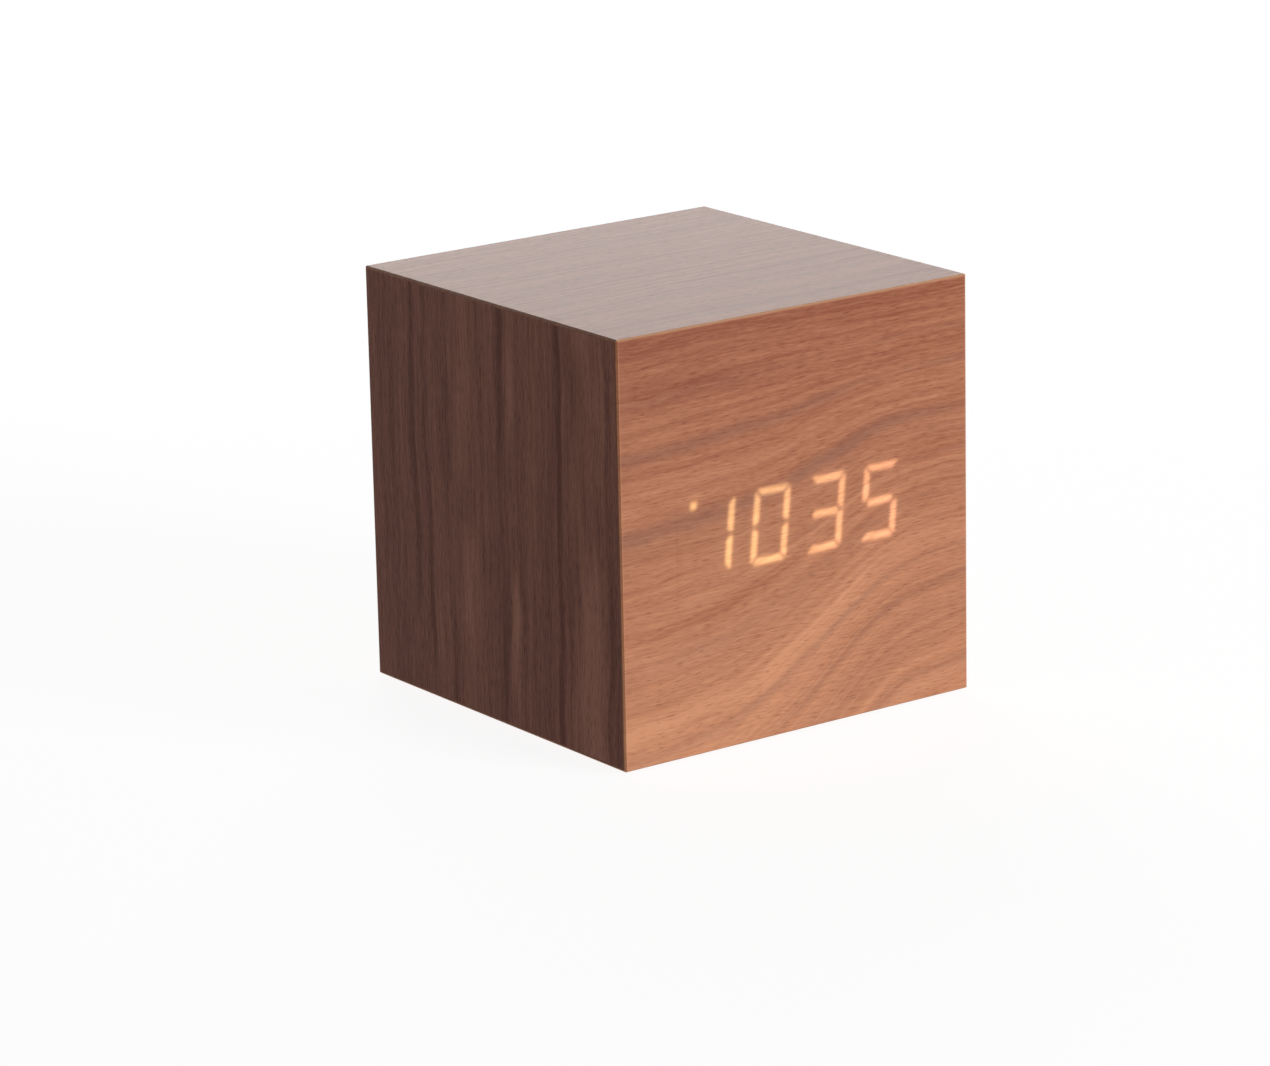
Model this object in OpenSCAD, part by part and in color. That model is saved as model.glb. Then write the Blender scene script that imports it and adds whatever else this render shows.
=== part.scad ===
// Cube alarm clock: veneered fibreboard case, display that shines through the front veneer,
// setting buttons and power socket at the back, battery compartment underneath.
// Millimetres, +Z up, display towards -Y, origin on the table under the middle of the case.

/* [Case] */
// Width of the case, left to right
case_w = 80; // [78:1:120]
// Depth of the case, front to back
case_d = 80; // [74:1:120]
// Height of the wooden case, without the feet
case_h = 80; // [68:1:120]
// Thickness of the fibreboard walls
board_t = 6; // [5:0.5:8]
// Thickness of the walnut veneer on every face
veneer_t = 0.6; // [0.5:0.1:1]
// Bevel that breaks the sharp outer edges
edge_break = 0.3; // [0.1:0.05:0.4]
// How far the front and back boards are let into the walls
rebate = 2.5; // [1.5:0.5:3]

/* [Feet] */
// Diameter of a rubber foot
foot_d = 8; // [6:0.5:10]
// Thickness of a rubber foot
foot_t = 1.6; // [1.2:0.1:3]
// How far the feet stand out of the case
foot_out = 0.6; // [0.4:0.1:0.8]
// Distance from a foot's middle to the sides of the case
foot_inset = 9; // [7:0.5:10]

/* [Display] */
// The four figures of the time that is lit
time_digits = [1, 0, 3, 5]; // [0:1:9]
// Height of a figure
digit_h = 14.4; // [12:0.1:15]
// Width of a figure
digit_w = 8.4; // [7:0.1:9]
// Distance from one figure to the next
digit_pitch = 12.7; // [12:0.1:13]
// Width of a light bar
stroke = 1.5; // [1.2:0.1:1.8]
// Gap at the mitred corners between light bars
corner_gap = 0.25; // [0.2:0.05:0.5]
// Gap between the upper and the lower upright bars
middle_gap = 0.6; // [0.4:0.1:1]
// Lean of the figures, in degrees
slant = 6; // [0:1:8]
// Side of the square light of the alarm indicator and the colon
dot_size = 1.6; // [1.2:0.1:1.8]
// Height of the display above the middle of the case
display_rise = 0.4; // [-2:0.1:2]
// Gap between the alarm indicator and the first figure
dot_gap = 0.35; // [0.3:0.05:0.6]
// Wall of the reflector block outside the indicator
reflector_wall = 0.65; // [0.5:0.05:1.5]
// Rim of the reflector block above and below the figures
reflector_rim = 2.3; // [2:0.1:4]
// Depth of the cast lenses behind the veneer
lens_t = 2.5; // [1.5:0.1:4]

/* [Circuit boards] */
// Thickness of the circuit boards
pcb_t = 1.6; // [1.2:0.1:2]
// Gap between the main board and the side walls
main_board_gap = 2.9; // [1.4:0.1:3.4]
// Height of the main board
main_board_h = 34; // [33:1:40]
// Thickness of the spacers between the front board and the main board
spacer_t = 2; // [1:0.5:4]
// Depth of the drop in the ribbon cable
ribbon_sag = 5; // [2:0.5:8]

/* [Rear controls] */
// Height of the control plate's middle above the bottom of the case
control_rise = 28; // [27:0.5:34]
// Width of the control plate
plate_w = 60; // [59:0.5:62]
// Height of the control plate
plate_h = 22; // [20:0.5:24]
// Thickness of the plate's rim
plate_t = 1.2; // [1:0.1:2]
// Depth of the well that the buttons stand in
well_depth = 2; // [1.6:0.1:3]
// Thickness of the floor of the well
floor_t = 1.5; // [1.2:0.1:2]
// Diameter of a button
button_d = 7; // [5:0.1:7.4]
// How far a button stands out of the floor of the well
button_out = 1.4; // [0.8:0.1:1.5]
// Travel of a button
button_travel = 0.3; // [0.2:0.05:0.4]

/* [Battery compartment] */
// Diameter of a cell
cell_d = 10.5; // [10:0.1:10.6]
// Length of a cell, with its contact button
cell_l = 44.5; // [44:0.1:45]
// Length of a contact spring when the cells are in
spring_l = 4.2; // [3.8:0.1:4.8]
// Wall of the battery box
box_wall = 1.2; // [1:0.1:1.5]
// Thickness of the battery door
door_t = 1.4; // [1.2:0.1:1.8]

/* [Hidden] */

$fn = 48;
past = 1;        // how far a cut runs past the face that it opens
fit = 0.2;       // gap round a piece that drops into a recess
snug = 0.05;     // gap round a screw's shank or head in its seat

// Planes of the case
z_bottom = foot_out;
z_top = foot_out + case_h;
z_middle = (z_bottom + z_top) / 2;
x_side = case_w / 2;
y_side = case_d / 2;
core_x = x_side - veneer_t;              // outside of the fibreboard
core_y = y_side - veneer_t;
core_z = [z_bottom + veneer_t, z_top - veneer_t];
room_x = core_x - board_t;               // inside of the case
room_y = core_y - board_t;
room_z = [core_z[0] + board_t, core_z[1] - board_t];

// Display and main board
display_z = z_middle + display_rise;
dot_lift = 0.1;                          // of the indicator above the tops of the figures
dot_z = digit_h / 2 - dot_size / 2 + dot_lift;
lean = tan(slant);
dot_room = dot_gap + dot_size + reflector_wall - dot_z * lean;
reflector_w = 3 * digit_pitch + digit_w + 2 * dot_room;
reflector_h = digit_h + 2 * reflector_rim;
reflector_t = board_t + spacer_t;
main_y = -core_y + reflector_t;          // front of the main board
main_back_y = main_y + pcb_t;
window_fit = 0.3;
peg_r = 0.9;
peg_inset = [1.2, 1.1];
peg_at = [reflector_w, reflector_h] / 2 - peg_inset;
main_board_w = 2 * (room_x - main_board_gap);
main_screw_inset = [2.9, 3.4];
main_screw_at = [main_board_w, main_board_h] / 2 - main_screw_inset;
spacer_r = 2.4;
main_screw_grip = 4.5;                   // length of thread in the front board
led = [1.6, 0.8, 0.6];                   // length, width and height of a light chip
well_narrow = [0.6, 0.9];                // length and width of a well at the board, as shares of its bar
coin_at = [-15.5, 1];                    // places on the back of the main board, from its middle
chip_at = [5, 3];
crystal_at = [5, -6];
sounder_inset = 9.5;                     // from the right end of the board
sounder_at = [main_board_w / 2 - sounder_inset, -4];
header_inset = 4;                        // from the lower edge of the board
header_at = [0, header_inset - main_board_h / 2];
chip = [13, 7.5, 2.2];                   // length, width and height of the clock chip
chip_stand_off = 0.1;
chip_leads = 10;                         // on each side
chip_pitch = 1.27;                       // of its leads
chip_lead_w = 0.4;
chip_lead_t = 0.25;
chip_lead_high = 1.15;
chip_lead_in = 0.2;                      // how far a lead goes into the chip
chip_lead_out = 0.45;                    // from the chip's side to the lead's drop
chip_lead_foot = 0.85;
sounder_can = [6, 8.5];                  // radius and height
sounder_mouth = [1.2, 2];                // radius and depth of the hole that the sound leaves by
sounder_ease = 0.5;
coin_d = 20;
coin_t = 3.2;
coin_floor = 2;
coin_holder_t = 5.4;
coin_holder_wall = 1.6;
coin_holder_r = coin_d / 2 + coin_holder_wall;
coin_grip = 3.4;                         // height of the holder's wall between its corners
finger_gap = 6;
strap_t = 0.4;
header = [11, 4, 5];                     // width, height and depth of a cable header
ribbon = [10.2, 0.9];                    // width and thickness of the ribbon cable

// Control plate, its buttons and its board
control_z = z_bottom + control_rise;
button_pitch = 11;
usb_gap = 12;                            // from the last button to the socket
button_x = [for (i = [0:2]) (2 * button_pitch + usb_gap) / 2 - i * button_pitch];
usb_x = button_x[2] - usb_gap;
well_w = 2 * button_x[0] + button_pitch;
well_h = 13;
well_wall = 1.2;
well_outside = grown([well_w, well_h], well_wall);
plate_hole = grown(well_outside, fit);   // in the back board
corner_r = 3;
button_fit = 0.2;
collar_out = 0.7;
collar_r = button_d / 2 + collar_out;
collar_t = 1;
button_float = 0.2;                      // free play under the floor at rest
switch_w = 6;
switch_h = 3.5;
plunger_r = 1.75;
plunger_fit = 0.1;
plunger_out = 0.8;
plunger_in = 1;
boss_h = switch_h + plunger_out + collar_t + button_float;
boss_r = 1.8;
boss_x = [(button_x[0] + button_x[1]) / 2, (button_x[2] + usb_x) / 2];
boss_z = 4.3;
floor_y = y_side - well_depth;           // outside of the floor of the well
boss_y = floor_y - floor_t;
control_y = boss_y - boss_h;             // back of the control board
control_front_y = control_y - pcb_t;
control_board_inset = [0.7, 0.4];        // from the outside of the well
control_board_size = well_outside - 2 * control_board_inset;
plate_screw_x = (well_outside[0] + plate_w) / 4;
usb = [7.6, 2.6, 0.3];                   // width, height and sheet of the socket's shell
usb_corner = 0.8;
usb_sunk = 0.4;                          // from the floor of the well to the socket's mouth

// Screws
screw_r = 1;
screw_head_r = 1.9;
screw_head_h = 1.1;
screw_point = 0.6;
screw_short = 0.5;                       // from a screw's point to the inside of the case
case_screw_l = veneer_t + board_t - screw_short;
slot = [2.2, 0.5, 1.2];                  // length, width and twice the depth of the cross in a head
through_fit = 0.2;
small_screw_r = 0.8;                     // the control board's screws, because its bosses are slim
small_head_r = 1.6;
small_head_h = 1;
small_screw_grip = 4.5;

// Battery box, its cells and its door
cell_count = 3;
cell_apart = 0.5;                        // between neighbouring cells
cell_pitch = cell_d + cell_apart;
nub = [1.9, 0.8];                        // radius and height of a cell's contact button
cell_fit = 0.2;
contact_t = 0.4;
bay_l = cell_l + spring_l + 2 * contact_t;
bay_w = cell_count * cell_pitch + 2 * cell_fit;
door_ledge = 1;
door_l = bay_l + 2 * door_ledge;
door_w = bay_w + 2 * door_ledge;
lip_x = door_l / 2 + fit;                // edge of the opening that the door drops into
lip_w = door_w / 2 + fit;
ledge_t = 2;                             // of the flange above the door
flange_t = door_t + ledge_t;
door_z = z_bottom + door_t;              // inside of the door, and the ledge that it lies on
flange_z = z_bottom + flange_t;
cell_gap = 0.3;                          // from the door to the cells, and from the cells to the roof
cell_z = door_z + cell_gap + cell_d / 2;
saddle_rise = 2;                         // from the cells' middle to the roof between them
saddle_z = cell_z + saddle_rise;
box_top = cell_z + cell_d / 2 + cell_gap + box_wall;
box_x = bay_l / 2 + box_wall;
box_y = bay_w / 2 + box_wall;
latch_w = 12;
latch_t = 0.9;                           // thickness of the latch's spring
latch_r = 1.75;                          // outside of its bend
latch_h = 3.6;                           // from the bottom of the case to the middle of its bend
latch_gap = 0.35;
latch_root = 1;                          // how far the latch goes into the door
catch_out = 0.4;
catch_h = 1;
catch_gap = 0.15;                        // from the catch to the lip, as the door tips
catch_room = [0.6, 0.5];                 // behind the lip, and above the bend
latch_x = lip_x + latch_gap + latch_r;   // middle of the bend
latch_lip_x = latch_x + latch_r + catch_out + catch_gap;
latch_room_x = latch_lip_x + catch_room[0];
latch_room_z = z_bottom + latch_h + latch_r + catch_room[1];
thumb_r = 5;                             // notch in the lip, where a fingertip presses the latch
thumb_reach = 2;                         // how far the notch goes into the lip
grip_count = 5;                          // low ribs on the outside of the door
grip_pitch = 2.4;
grip_l = 16;
grip_r = 0.6;                            // of a rib's round back
grip_out = 0.3;                          // how far a rib stands out of the door
grip_run_out = 1;                        // length over which a rib's end sinks into the door
grip_inset = 11;                         // from the end of the door to the first rib
flange_end = 1;                          // of the flange, past the latch's room
flange_x = latch_room_x + box_wall + flange_end;
flange_rim = 3.6;                        // of the flange, beside the box
flange_y = box_y + flange_rim;
box_screw_inset = 4.5;                   // from the side of the box
box_screw_at = [(box_x + flange_x) / 2, box_y - box_screw_inset];
hook_w = 4;
hook_root = 2;                           // from the wall to the inner side of a hook's root
hook_t = 0.9;
hook_reach = 1.1;                        // how far a hook goes behind the lip
hook_lift = 0.1;
catch_z = door_t + hook_lift;            // the catch lies just above the lip
hook_room = 0.35;                        // past the tip of a hook
hook_rise = 2.6;                         // height that a hook needs as the door tips
hinge_x = -door_l / 2 + door_t / 2;      // middle of the door's rounded end, which it tips about
hinge_z = z_bottom + door_t / 2;
hinge_step = 0.02;                       // keeps the round end just inside the door's faces
plate_half = 3.6;                        // half of a contact plate's side
join_top = 1.5;                          // a joining plate stays below the ribs between the cells
tail_w = 3;
tail_out = 2.2;                          // how far a solder tail stands out of the box
spring_wire = 0.6;
spring_turns = 3;
spring_r = [3.2, 2.1];                   // at the contact plate and at the cell
lead_r = 0.6;
lead_x = 16;                             // where the leads meet the control board
lead_drop = 4;
lead_pull = 12;                          // how far a lead holds its direction at each end
lead_steps = 16;

// Plain solids and outlines

module block(low, high) {
    translate(low) cube(high - low);
}

module along_y(y0, y1) {
    translate([0, y1, 0]) rotate([90, 0, 0]) linear_extrude(y1 - y0) children();
}

module along_x(x0, x1) {
    translate([x0, 0, 0]) rotate([90, 0, 90]) linear_extrude(x1 - x0) children();
}

module along_z(z0, z1) {
    translate([0, 0, z0]) linear_extrude(z1 - z0) children();
}

module rod_y(x, z, r, y0, y1) {
    translate([x, y0, z]) rotate([-90, 0, 0]) cylinder(h = y1 - y0, r = r);
}

module rod_x(y, z, r, x0, x1) {
    translate([x0, y, z]) rotate([0, 90, 0]) cylinder(h = x1 - x0, r = r);
}

function arc(middle, r, from, to, steps = 8) =
    [for (i = [0:steps]) let (a = from + (to - from) * i / steps) middle + r * [cos(a), sin(a)]];

function rounded(w, h, r) = concat(
    arc([w / 2 - r, h / 2 - r], r, 0, 90),
    arc([-w / 2 + r, h / 2 - r], r, 90, 180),
    arc([-w / 2 + r, -h / 2 + r], r, 180, 270),
    arc([w / 2 - r, -h / 2 + r], r, 270, 360)
);

function grown(size, gap) = size + 2 * gap * [1, 1];

// The four corners of a rectangle of half sides p
function corners(p) = [for (sx = [-1, 1], sz = [-1, 1]) [sx * p[0], sz * p[1]]];

// Tubes along a path

function unit(v) = v / norm(v);

function path_direction(path, i) =
    unit(path[min(i + 1, len(path) - 1)] - path[max(i - 1, 0)]);

function tube_points(path, r, sides, across) = [
    for (i = [0:len(path) - 1])
        let (along = path_direction(path, i), u = unit(cross(along, across)), v = cross(along, u))
            for (k = [0:sides - 1])
                path[i] + r * (cos(360 * k / sides) * u + sin(360 * k / sides) * v)
];

function tube_faces(rings, sides) = concat(
    [for (i = [0:rings - 2], k = [0:sides - 1])
        let (a = i * sides + k, b = i * sides + (k + 1) % sides) [a, a + sides, b]],
    [for (i = [0:rings - 2], k = [0:sides - 1])
        let (a = i * sides + k, b = i * sides + (k + 1) % sides) [b, a + sides, b + sides]],
    [for (k = [1:sides - 2]) [0, k, k + 1]],
    [for (k = [1:sides - 2], base = (rings - 1) * sides) [base, base + k + 1, base + k]]
);

module tube(path, r, sides, across) {
    polyhedron(tube_points(path, r, sides, across), tube_faces(len(path), sides));
}

function bezier(p, t) =
    pow(1 - t, 3) * p[0] + 3 * pow(1 - t, 2) * t * p[1] + 3 * (1 - t) * t * t * p[2] + pow(t, 3) * p[3];

// Screws: the seat of the head is at z = 0 and the shank runs down

module cross_slot(top) {
    for (turn = [0, 90]) rotate(turn) translate([0, 0, top]) cube(slot, center = true);
}

module pan_screw(length, r = screw_r, head_r = screw_head_r, head_h = screw_head_h) {
    difference() {
        rotate_extrude() polygon([
            [0, head_h], [0.6 * head_r, head_h], [head_r, 0.5 * head_h], [head_r, 0],
            [r, 0], [r, screw_point - length], [0, -length]
        ]);
        cross_slot(head_h);
    }
}

// A countersunk head lies flush with z = 0
module flush_screw(length) {
    difference() {
        rotate_extrude() polygon([
            [0, 0], [screw_head_r, 0], [screw_r, -screw_head_h], [screw_r, screw_point - length], [0, -length]
        ]);
        cross_slot(0);
    }
}

module flush_seat(depth) {
    cone = [screw_r + snug, screw_head_r + snug];
    translate([0, 0, -screw_head_h]) cylinder(h = screw_head_h, r1 = cone[0], r2 = cone[1]);
    translate([0, 0, -depth]) cylinder(h = depth, r = screw_r + through_fit);
}

// The seven bars of a figure, a to g, as outlines about the figure's middle

bar_end = corner_gap / sqrt(2);
bar_a = [
    [-digit_w / 2 + bar_end, digit_h / 2], [digit_w / 2 - bar_end, digit_h / 2],
    [digit_w / 2 - stroke - bar_end, digit_h / 2 - stroke],
    [-digit_w / 2 + stroke + bar_end, digit_h / 2 - stroke]
];
bar_f = [
    [-digit_w / 2, digit_h / 2 - bar_end], [-digit_w / 2, middle_gap / 2],
    [-digit_w / 2 + stroke / 2, middle_gap / 2], [-digit_w / 2 + stroke, stroke / 2 + bar_end],
    [-digit_w / 2 + stroke, digit_h / 2 - stroke - bar_end]
];
bar_g = [
    [-digit_w / 2 + stroke / 2 + bar_end, 0], [-digit_w / 2 + stroke + bar_end, stroke / 2],
    [digit_w / 2 - stroke - bar_end, stroke / 2], [digit_w / 2 - stroke / 2 - bar_end, 0],
    [digit_w / 2 - stroke - bar_end, -stroke / 2], [-digit_w / 2 + stroke + bar_end, -stroke / 2]
];

function flipped(outline, fx, fz) = [for (p = outline) [fx * p[0], fz * p[1]]];

BAR_NAMES = "abcdefg";
BARS = [
    bar_a, flipped(bar_f, -1, 1), flipped(bar_f, -1, -1), flipped(bar_a, 1, -1),
    flipped(bar_f, 1, -1), bar_f, bar_g
];
LIT_BARS = ["abcdef", "bc", "abdeg", "abcdg", "bcfg", "acdfg", "acdefg", "abc", "abcdefg", "abcdfg"];

function leaned(outline, x) = [for (p = outline) [x + p[0] + p[1] * lean, display_z + p[1]]];
function digit_x(i) = (i - 1.5) * digit_pitch;
function is_lit(i, k) = len(search(BAR_NAMES[k], LIT_BARS[time_digits[i]])) > 0;

function dot_outline(x, z) =
    let (h = dot_size / 2) leaned([[-h, z - h], [h, z - h], [h, z + h], [-h, z + h]], x);
indicator = dot_outline(digit_x(0) - digit_w / 2 - dot_gap - dot_size / 2, dot_z);
colon = [for (s = [-1, 1]) dot_outline(0, s * digit_h / 5)];

function bars_of_time(lit) =
    [for (i = [0:3], k = [0:6]) if (is_lit(i, k) == lit) leaned(BARS[k], digit_x(i))];
lit_outlines = concat([indicator], bars_of_time(true));
dark_outlines = concat(colon, bars_of_time(false));

// The middle of an outline, and whether it is long along x (0) or z (1), as a dot is along neither
function middle(outline) = [for (c = [0, 1]) let (v = [for (p = outline) p[c]]) (min(v) + max(v)) / 2];
function is_long(outline, c) = let (v = [for (p = outline) p[c]]) max(v) - min(v) > 2 * stroke;

// Case: four walls mitred at their long edges, with the front and back boards let in

module mitred_wall(outline) {
    color("burlywood") difference() {
        along_y(-core_y, core_y) polygon(outline);
        for (s = [-1, 1]) let_in_room(s);
    }
}

// The room that the front (-1) or back (1) board takes up
module let_in_room(side) {
    y = [side * core_y, side * room_y];
    block(
        [-room_x - rebate, min(y) - (side < 0 ? past : 0), room_z[0] - rebate],
        [room_x + rebate, max(y) + (side > 0 ? past : 0), room_z[1] + rebate]
    );
}

module let_in_board(side) {
    intersection() {
        let_in_room(side);
        block([-core_x, -core_y, core_z[0]], [core_x, core_y, core_z[1]]);
    }
}

module case_top_board() {
    mitred_wall([[-core_x, core_z[1]], [-room_x, room_z[1]], [room_x, room_z[1]], [core_x, core_z[1]]]);
}

module case_left_board() {
    mitred_wall([[-core_x, core_z[0]], [-room_x, room_z[0]], [-room_x, room_z[1]], [-core_x, core_z[1]]]);
}

module case_right_board() {
    mirror([1, 0, 0]) case_left_board();
}

module case_bottom_board() {
    color("burlywood") difference() {
        mitred_wall([[-core_x, core_z[0]], [-room_x, room_z[0]], [room_x, room_z[0]], [core_x, core_z[0]]]);
        flange_room();
        along_z(z_bottom, room_z[0] + past) {
            square(grown([2 * box_x, 2 * box_y], fit), center = true);
            translate([0, -latch_w / 2 - box_wall - 2 * fit])
                square([latch_room_x + box_wall + fit, latch_w + 2 * box_wall + 4 * fit]);
        }
        foot_sockets();
        at_box_screws() translate([0, 0, -case_screw_l - snug])
            cylinder(h = case_screw_l, r = screw_r + snug);
    }
}

module front_board() {
    color("burlywood") difference() {
        let_in_board(-1);
        along_y(-core_y - past, -room_y + past)
            translate([0, display_z]) square(grown([reflector_w, reflector_h], window_fit), center = true);
        for (p = corners(main_screw_at))
            rod_y(p[0], display_z + p[1], screw_r + snug, -room_y - main_screw_grip - snug, -room_y + past);
    }
}

module back_board() {
    color("burlywood") difference() {
        let_in_board(1);
        plate_room();
        along_y(room_y - past, core_y + past)
            translate([0, control_z]) polygon(rounded(plate_hole[0], plate_hole[1], corner_r));
        for (s = [-1, 1])
            rod_y(s * plate_screw_x, control_z, screw_r + snug, y_side - case_screw_l - snug, y_side);
    }
}

// Veneer: sides first, then top and bottom, then front and back, with all outer edges broken

function eased(w, h) = let (a = w / 2, b = h / 2, e = edge_break) [
    [a, b - e], [a - e, b], [-a + e, b], [-a, b - e], [-a, -b + e], [-a + e, -b], [a - e, -b], [a, -b + e]
];

module eased_case() {
    intersection() {
        along_z(z_bottom, z_top) polygon(eased(case_w, case_d));
        along_y(-y_side, y_side) translate([0, z_middle]) polygon(eased(case_w, case_h));
        along_x(-x_side, x_side) translate([0, z_middle]) polygon(eased(case_d, case_h));
    }
}

module veneer(low, high) {
    intersection() {
        eased_case();
        block(low, high);
    }
}

module top_veneer() {
    color("sienna") veneer([-x_side, -core_y, core_z[1]], [x_side, core_y, z_top]);
}

module bottom_veneer() {
    color("sienna") difference() {
        veneer([-x_side, -core_y, z_bottom], [x_side, core_y, core_z[0]]);
        flange_room();
        foot_sockets();
    }
}

module left_veneer() {
    color("sienna") veneer([-x_side, -core_y, core_z[0]], [-core_x, core_y, core_z[1]]);
}

module right_veneer() {
    mirror([1, 0, 0]) left_veneer();
}

module front_veneer() {
    color("peru") veneer([-x_side, -y_side, z_bottom], [x_side, -core_y, z_top]);
}

module back_veneer() {
    color("sienna") difference() {
        veneer([-x_side, core_y, z_bottom], [x_side, y_side, z_top]);
        plate_room();
    }
}

// Feet, pressed into shallow sockets

module at_feet() {
    for (p = corners([x_side - foot_inset, y_side - foot_inset])) translate([p[0], p[1], 0]) children();
}

module foot_sockets() {
    at_feet() cylinder(h = foot_t, r = foot_d / 2 + snug);
}

module rubber_feet() {
    ease = 0.3;
    color("dimgray") at_feet() rotate_extrude() polygon([
        [0, 0], [foot_d / 2 - ease, 0], [foot_d / 2, ease], [foot_d / 2, foot_t], [0, foot_t]
    ]);
}

// Display: a reflector block with a light well for every bar, filled with cast lenses at the front

module bars(outlines, y0, y1) {
    along_y(y0, y1) for (o = outlines) polygon(o);
}

// A light well is straight round its lens, and narrows from there to the chip on the board
module light_well(outline) {
    lens_back = -core_y + lens_t;
    depth = main_y - lens_back;
    at = middle(outline);
    narrow = [for (c = [0, 1]) 1 - (1 - well_narrow[is_long(outline, c) ? 0 : 1]) * (depth + past) / depth];
    along_y(-core_y - past, lens_back) polygon(outline);
    translate([at[0], main_y + past, at[1]]) rotate([90, 0, 0])
        linear_extrude(depth + past, scale = [1 / narrow[0], 1 / narrow[1]], slices = 1, segments = 1)
            polygon([for (p = outline) [for (c = [0, 1]) narrow[c] * (p[c] - at[c])]]);
}

module display_reflector() {
    color("whitesmoke") difference() {
        union() {
            along_y(-core_y, main_y)
                translate([0, display_z]) square([reflector_w, reflector_h], center = true);
            for (p = corners(peg_at)) rod_y(p[0], display_z + p[1], peg_r, main_y - past, main_back_y);
        }
        for (o = concat(lit_outlines, dark_outlines)) light_well(o);
    }
}

module lit_lenses() {
    color("orange") bars(lit_outlines, -core_y, -core_y + lens_t);
}

module dark_lenses() {
    color("lightgray") bars(dark_outlines, -core_y, -core_y + lens_t);
}

// A chip lies along its bar, and across the square of a dot
module display_leds() {
    lying = [dot_size - led[1] / 2, led[2], led[1]];
    standing = [led[1], led[2], led[0]];
    color("lightyellow") for (o = concat(lit_outlines, dark_outlines))
        translate([middle(o)[0], main_y - led[2] / 2, middle(o)[1]])
            cube(is_long(o, 1) ? standing : lying, center = true);
}

// Main board, and what stands on its back

module on_main_back(place) {
    translate([place[0], main_back_y, display_z + place[1]]) rotate([-90, 0, 0]) children();
}

module main_board() {
    color("darkgreen") difference() {
        along_y(main_y, main_back_y)
            translate([0, display_z]) square([main_board_w, main_board_h], center = true);
        for (p = corners(peg_at))
            rod_y(p[0], display_z + p[1], peg_r + snug, main_y - past, main_back_y + past);
        for (p = corners(main_screw_at))
            rod_y(p[0], display_z + p[1], screw_r + through_fit, main_y - past, main_back_y + past);
    }
}

module board_spacers() {
    color("ivory") for (p = corners(main_screw_at)) difference() {
        rod_y(p[0], display_z + p[1], spacer_r, -room_y, main_y);
        rod_y(p[0], display_z + p[1], screw_r + through_fit, -room_y - past, main_y + past);
    }
}

module main_board_screws() {
    color("silver") for (p = corners(main_screw_at))
        on_main_back(p) pan_screw(pcb_t + spacer_t + main_screw_grip);
}

module clock_chip() {
    half = chip / 2;
    color("black") on_main_back(chip_at) {
        block([-half[0], -half[1], chip_stand_off], [half[0], half[1], chip[2]]);
        for (i = [0:chip_leads - 1], s = [0, 1])
            translate([(i - (chip_leads - 1) / 2) * chip_pitch, 0, 0]) mirror([0, s, 0]) chip_lead(half[1]);
    }
}

// A lead leaves the chip's side at half height, turns down and lies on the board
module chip_lead(side) {
    t = chip_lead_t;
    high = chip_lead_high;
    root = side - chip_lead_in;
    down = side + chip_lead_out;
    toe = down + chip_lead_foot;
    color("silver") along_chip(chip_lead_w) polygon([
        [root, high - t], [root, high], [down + t, high], [down + t, t], [toe, t], [toe, 0], [down, 0],
        [down, high - t]
    ]);
}

module along_chip(w) {
    translate([-w / 2, 0, 0]) rotate([90, 0, 90]) linear_extrude(w) children();
}

module timing_crystal() {
    can = [6.2, 1.05];          // length and radius
    lead = [1.5, 0.3, 0.8];     // length, thickness and spacing
    color("silver") on_main_back(crystal_at) translate([-can[0] / 2, 0, 0]) {
        translate([0, 0, can[1]]) rotate([0, 90, 0]) cylinder(h = can[0], r = can[1]);
        for (s = [-1, 1]) translate([0, s * lead[2] / 2, 0])
            block([-lead[0], -lead[1] / 2, 0], [lead[1], lead[1] / 2, can[1]]);
    }
}

module coin_holder() {
    color("dimgray") on_main_back(coin_at) difference() {
        cylinder(h = coin_holder_t, r = coin_holder_r);
        translate([0, 0, coin_floor]) cylinder(h = coin_holder_t, r = coin_d / 2 + fit);
        for (turn = [0, 90]) rotate(turn) translate([0, 0, coin_grip + coin_holder_t / 2])
            cube([finger_gap, 2 * coin_holder_r + past, coin_holder_t], center = true);
    }
}

module coin_cell() {
    ease = 0.25;
    step = [1.3, 0.3];          // the smaller cap underneath
    r = coin_d / 2;
    color("silver") on_main_back(coin_at) translate([0, 0, coin_floor]) rotate_extrude() polygon([
        [0, 0], [r - step[0], 0], [r - step[0], step[1]], [r, step[1] + ease],
        [r, coin_t - ease], [r - ease, coin_t], [0, coin_t]
    ]);
}

module coin_clip() {
    w = 5;
    half = coin_holder_r + fit;
    top = coin_holder_t;
    color("goldenrod") on_main_back(coin_at) {
        block([-half - strap_t, -w / 2, top], [half + strap_t, w / 2, top + strap_t]);
        for (s = [0, 1]) mirror([s, 0, 0]) block([half, -w / 2, 0], [half + strap_t, w / 2, top + strap_t]);
    }
}

module alarm_sounder() {
    r = sounder_can[0];
    top = sounder_can[1];
    color("black") on_main_back(sounder_at) difference() {
        rotate_extrude() polygon([
            [0, 0], [r, 0], [r, top - sounder_ease], [r - sounder_ease, top], [0, top]
        ]);
        translate([0, 0, top - sounder_mouth[1]]) cylinder(h = sounder_mouth[1] + past, r = sounder_mouth[0]);
    }
}

module ribbon_headers() {
    color("ivory") {
        translate([header_at[0], main_back_y + header[2] / 2, display_z + header_at[1]])
            cube([header[0], header[2], header[1]], center = true);
        translate([header_at[0], control_front_y - header[2] / 2, control_z])
            cube([header[0], header[2], header[1]], center = true);
    }
}

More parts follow.
